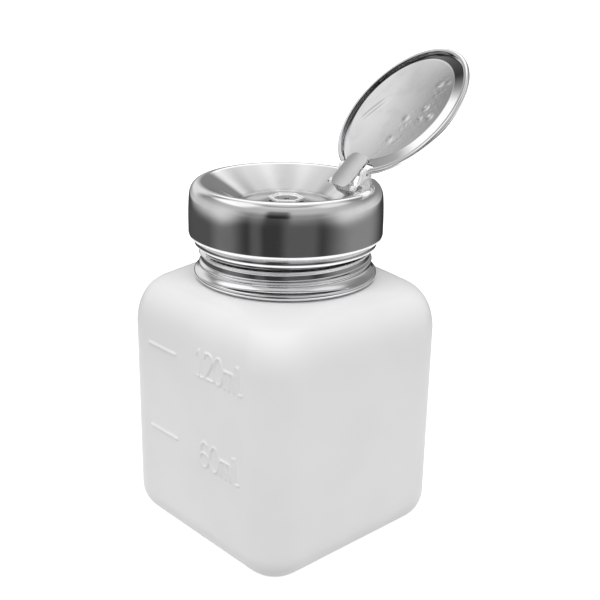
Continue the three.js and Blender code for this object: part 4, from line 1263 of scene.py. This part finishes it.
class PumpBottleStudio(bpy.types.PropertyGroup):
    """Floor, light and camera."""

    floor_colour: bpy.props.FloatVectorProperty(
        name="Floor", description="Colour of the floor", subtype="COLOR", size=3, min=0, max=1,
        default=(0.5, 0.5, 0.5))
    floor_glow: bpy.props.FloatProperty(
        name="Floor glow", description="Light the floor adds for the eye", min=0, max=1, default=0.85)
    fill: bpy.props.FloatProperty(
        name="Fill", description="Level of the even light", min=0, max=2, default=0.5)
    key: bpy.props.FloatProperty(
        name="Key", description="Strength of the lamp on the camera's side", min=0, max=10, default=1.75)
    side: bpy.props.FloatProperty(
        name="Sides", description="Strength of the lamps on the two sides", min=0, max=10, default=0.75)
    key_elevation: bpy.props.FloatProperty(
        name="Key elevation", description="Height of the lamp above the horizon", subtype="ANGLE", min=0,
        max=math.pi / 2, default=math.radians(60))
    ring_level: bpy.props.FloatProperty(
        name="Ring level", description="Level of the dark ring that the metal mirrors", min=0, max=1,
        default=0.045)
    focal_length: bpy.props.FloatProperty(
        name="Focal length", description="Camera's focal length in millimetres", min=20, max=200,
        default=62.72)


class PUMPBOTTLE_OT_stage(bpy.types.Operator):
    """Make the floor, the surround, the lamps and the camera"""

    bl_idname = "pump_bottle.stage"
    bl_label = "Stage"

    def execute(self, context):
        settings = context.scene.pump_bottle_studio
        make_camera(settings)
        make_world(settings)
        make_floor(settings)
        make_cards(settings)
        make_lamp("front_lamp", 0, settings.key_elevation, settings.key)
        make_lamp("left_lamp", -LAMPS.side_turn, LAMPS.side_elevation, settings.side)
        make_lamp("right_lamp", LAMPS.side_turn, LAMPS.side_elevation, settings.side)
        return {"FINISHED"}


class PUMPBOTTLE_OT_bottle(bpy.types.Operator):
    """Make the bottle with its raised graduations"""

    bl_idname = "pump_bottle.bottle"
    bl_label = "Bottle"

    def execute(self, context):
        make_bottle(context.scene.pump_bottle_plastic)
        return {"FINISHED"}


class PUMPBOTTLE_OT_collar(bpy.types.Operator):
    """Make the rolled collar"""

    bl_idname = "pump_bottle.collar"
    bl_label = "Collar"

    def execute(self, context):
        make_collar()
        return {"FINISHED"}


class PUMPBOTTLE_OT_head(bpy.types.Operator):
    """Make the head's stamping and the outlet in its dish"""

    bl_idname = "pump_bottle.head"
    bl_label = "Head"

    def execute(self, context):
        make_head(context.scene.pump_bottle_metal)
        make_nozzle()
        return {"FINISHED"}


class PUMPBOTTLE_OT_hinge(bpy.types.Operator):
    """Make the hinge's block, pin and leaf"""

    bl_idname = "pump_bottle.hinge"
    bl_label = "Hinge"

    def execute(self, context):
        make_bracket()
        make_pin()
        make_leaf()
        return {"FINISHED"}


class PUMPBOTTLE_OT_lid(bpy.types.Operator):
    """Make the lid's cover and its inner pan"""

    bl_idname = "pump_bottle.lid"
    bl_label = "Lid"

    def execute(self, context):
        make_lid_cover(context.scene.pump_bottle_metal)
        make_lid_plug(context.scene.pump_bottle_metal)
        return {"FINISHED"}


class PUMPBOTTLE_OT_inner_pieces(bpy.types.Operator):
    """Give the pump's inner pieces their finishes"""

    bl_idname = "pump_bottle.inner_pieces"
    bl_label = "Inner pieces"

    def execute(self, context):
        finish_kept_nodes()
        return {"FINISHED"}


class PUMPBOTTLE_PT_sidebar(bpy.types.Panel):
    """Sizes, colours and the buttons that make each piece"""

    bl_idname = "PUMPBOTTLE_PT_sidebar"
    bl_label = "Pump bottle"
    bl_space_type = "VIEW_3D"
    bl_region_type = "UI"
    bl_category = "Pump bottle"

    def draw(self, context):
        scene = context.scene
        for group in (scene.pump_bottle_plastic, scene.pump_bottle_metal, scene.pump_bottle_studio):
            box = self.layout.box()
            for name in group.bl_rna.properties.keys():
                if name not in ("rna_type", "name"):
                    box.prop(group, name)
        for operator in OPERATORS:
            self.layout.operator(operator.bl_idname)


GROUPS = {
    "pump_bottle_plastic": PumpBottlePlastic,
    "pump_bottle_metal": PumpBottleMetal,
    "pump_bottle_studio": PumpBottleStudio,
}
OPERATORS = (PUMPBOTTLE_OT_stage, PUMPBOTTLE_OT_bottle, PUMPBOTTLE_OT_collar, PUMPBOTTLE_OT_head,
             PUMPBOTTLE_OT_hinge, PUMPBOTTLE_OT_lid, PUMPBOTTLE_OT_inner_pieces)


def register():
    for name, group in GROUPS.items():
        bpy.utils.register_class(group)
        setattr(bpy.types.Scene, name, bpy.props.PointerProperty(type=group))
    for item in (*OPERATORS, PUMPBOTTLE_PT_sidebar):
        bpy.utils.register_class(item)


def unregister():
    for item in (PUMPBOTTLE_PT_sidebar, *reversed(OPERATORS)):
        bpy.utils.unregister_class(item)
    for name, group in reversed(GROUPS.items()):
        delattr(bpy.types.Scene, name)
        bpy.utils.unregister_class(group)


def main():
    register()
    bpy.ops.pump_bottle.stage()
    bpy.ops.pump_bottle.bottle()
    bpy.ops.pump_bottle.collar()
    bpy.ops.pump_bottle.head()
    bpy.ops.pump_bottle.hinge()
    bpy.ops.pump_bottle.lid()
    bpy.ops.pump_bottle.inner_pieces()


if __name__ == "__main__":
    main()
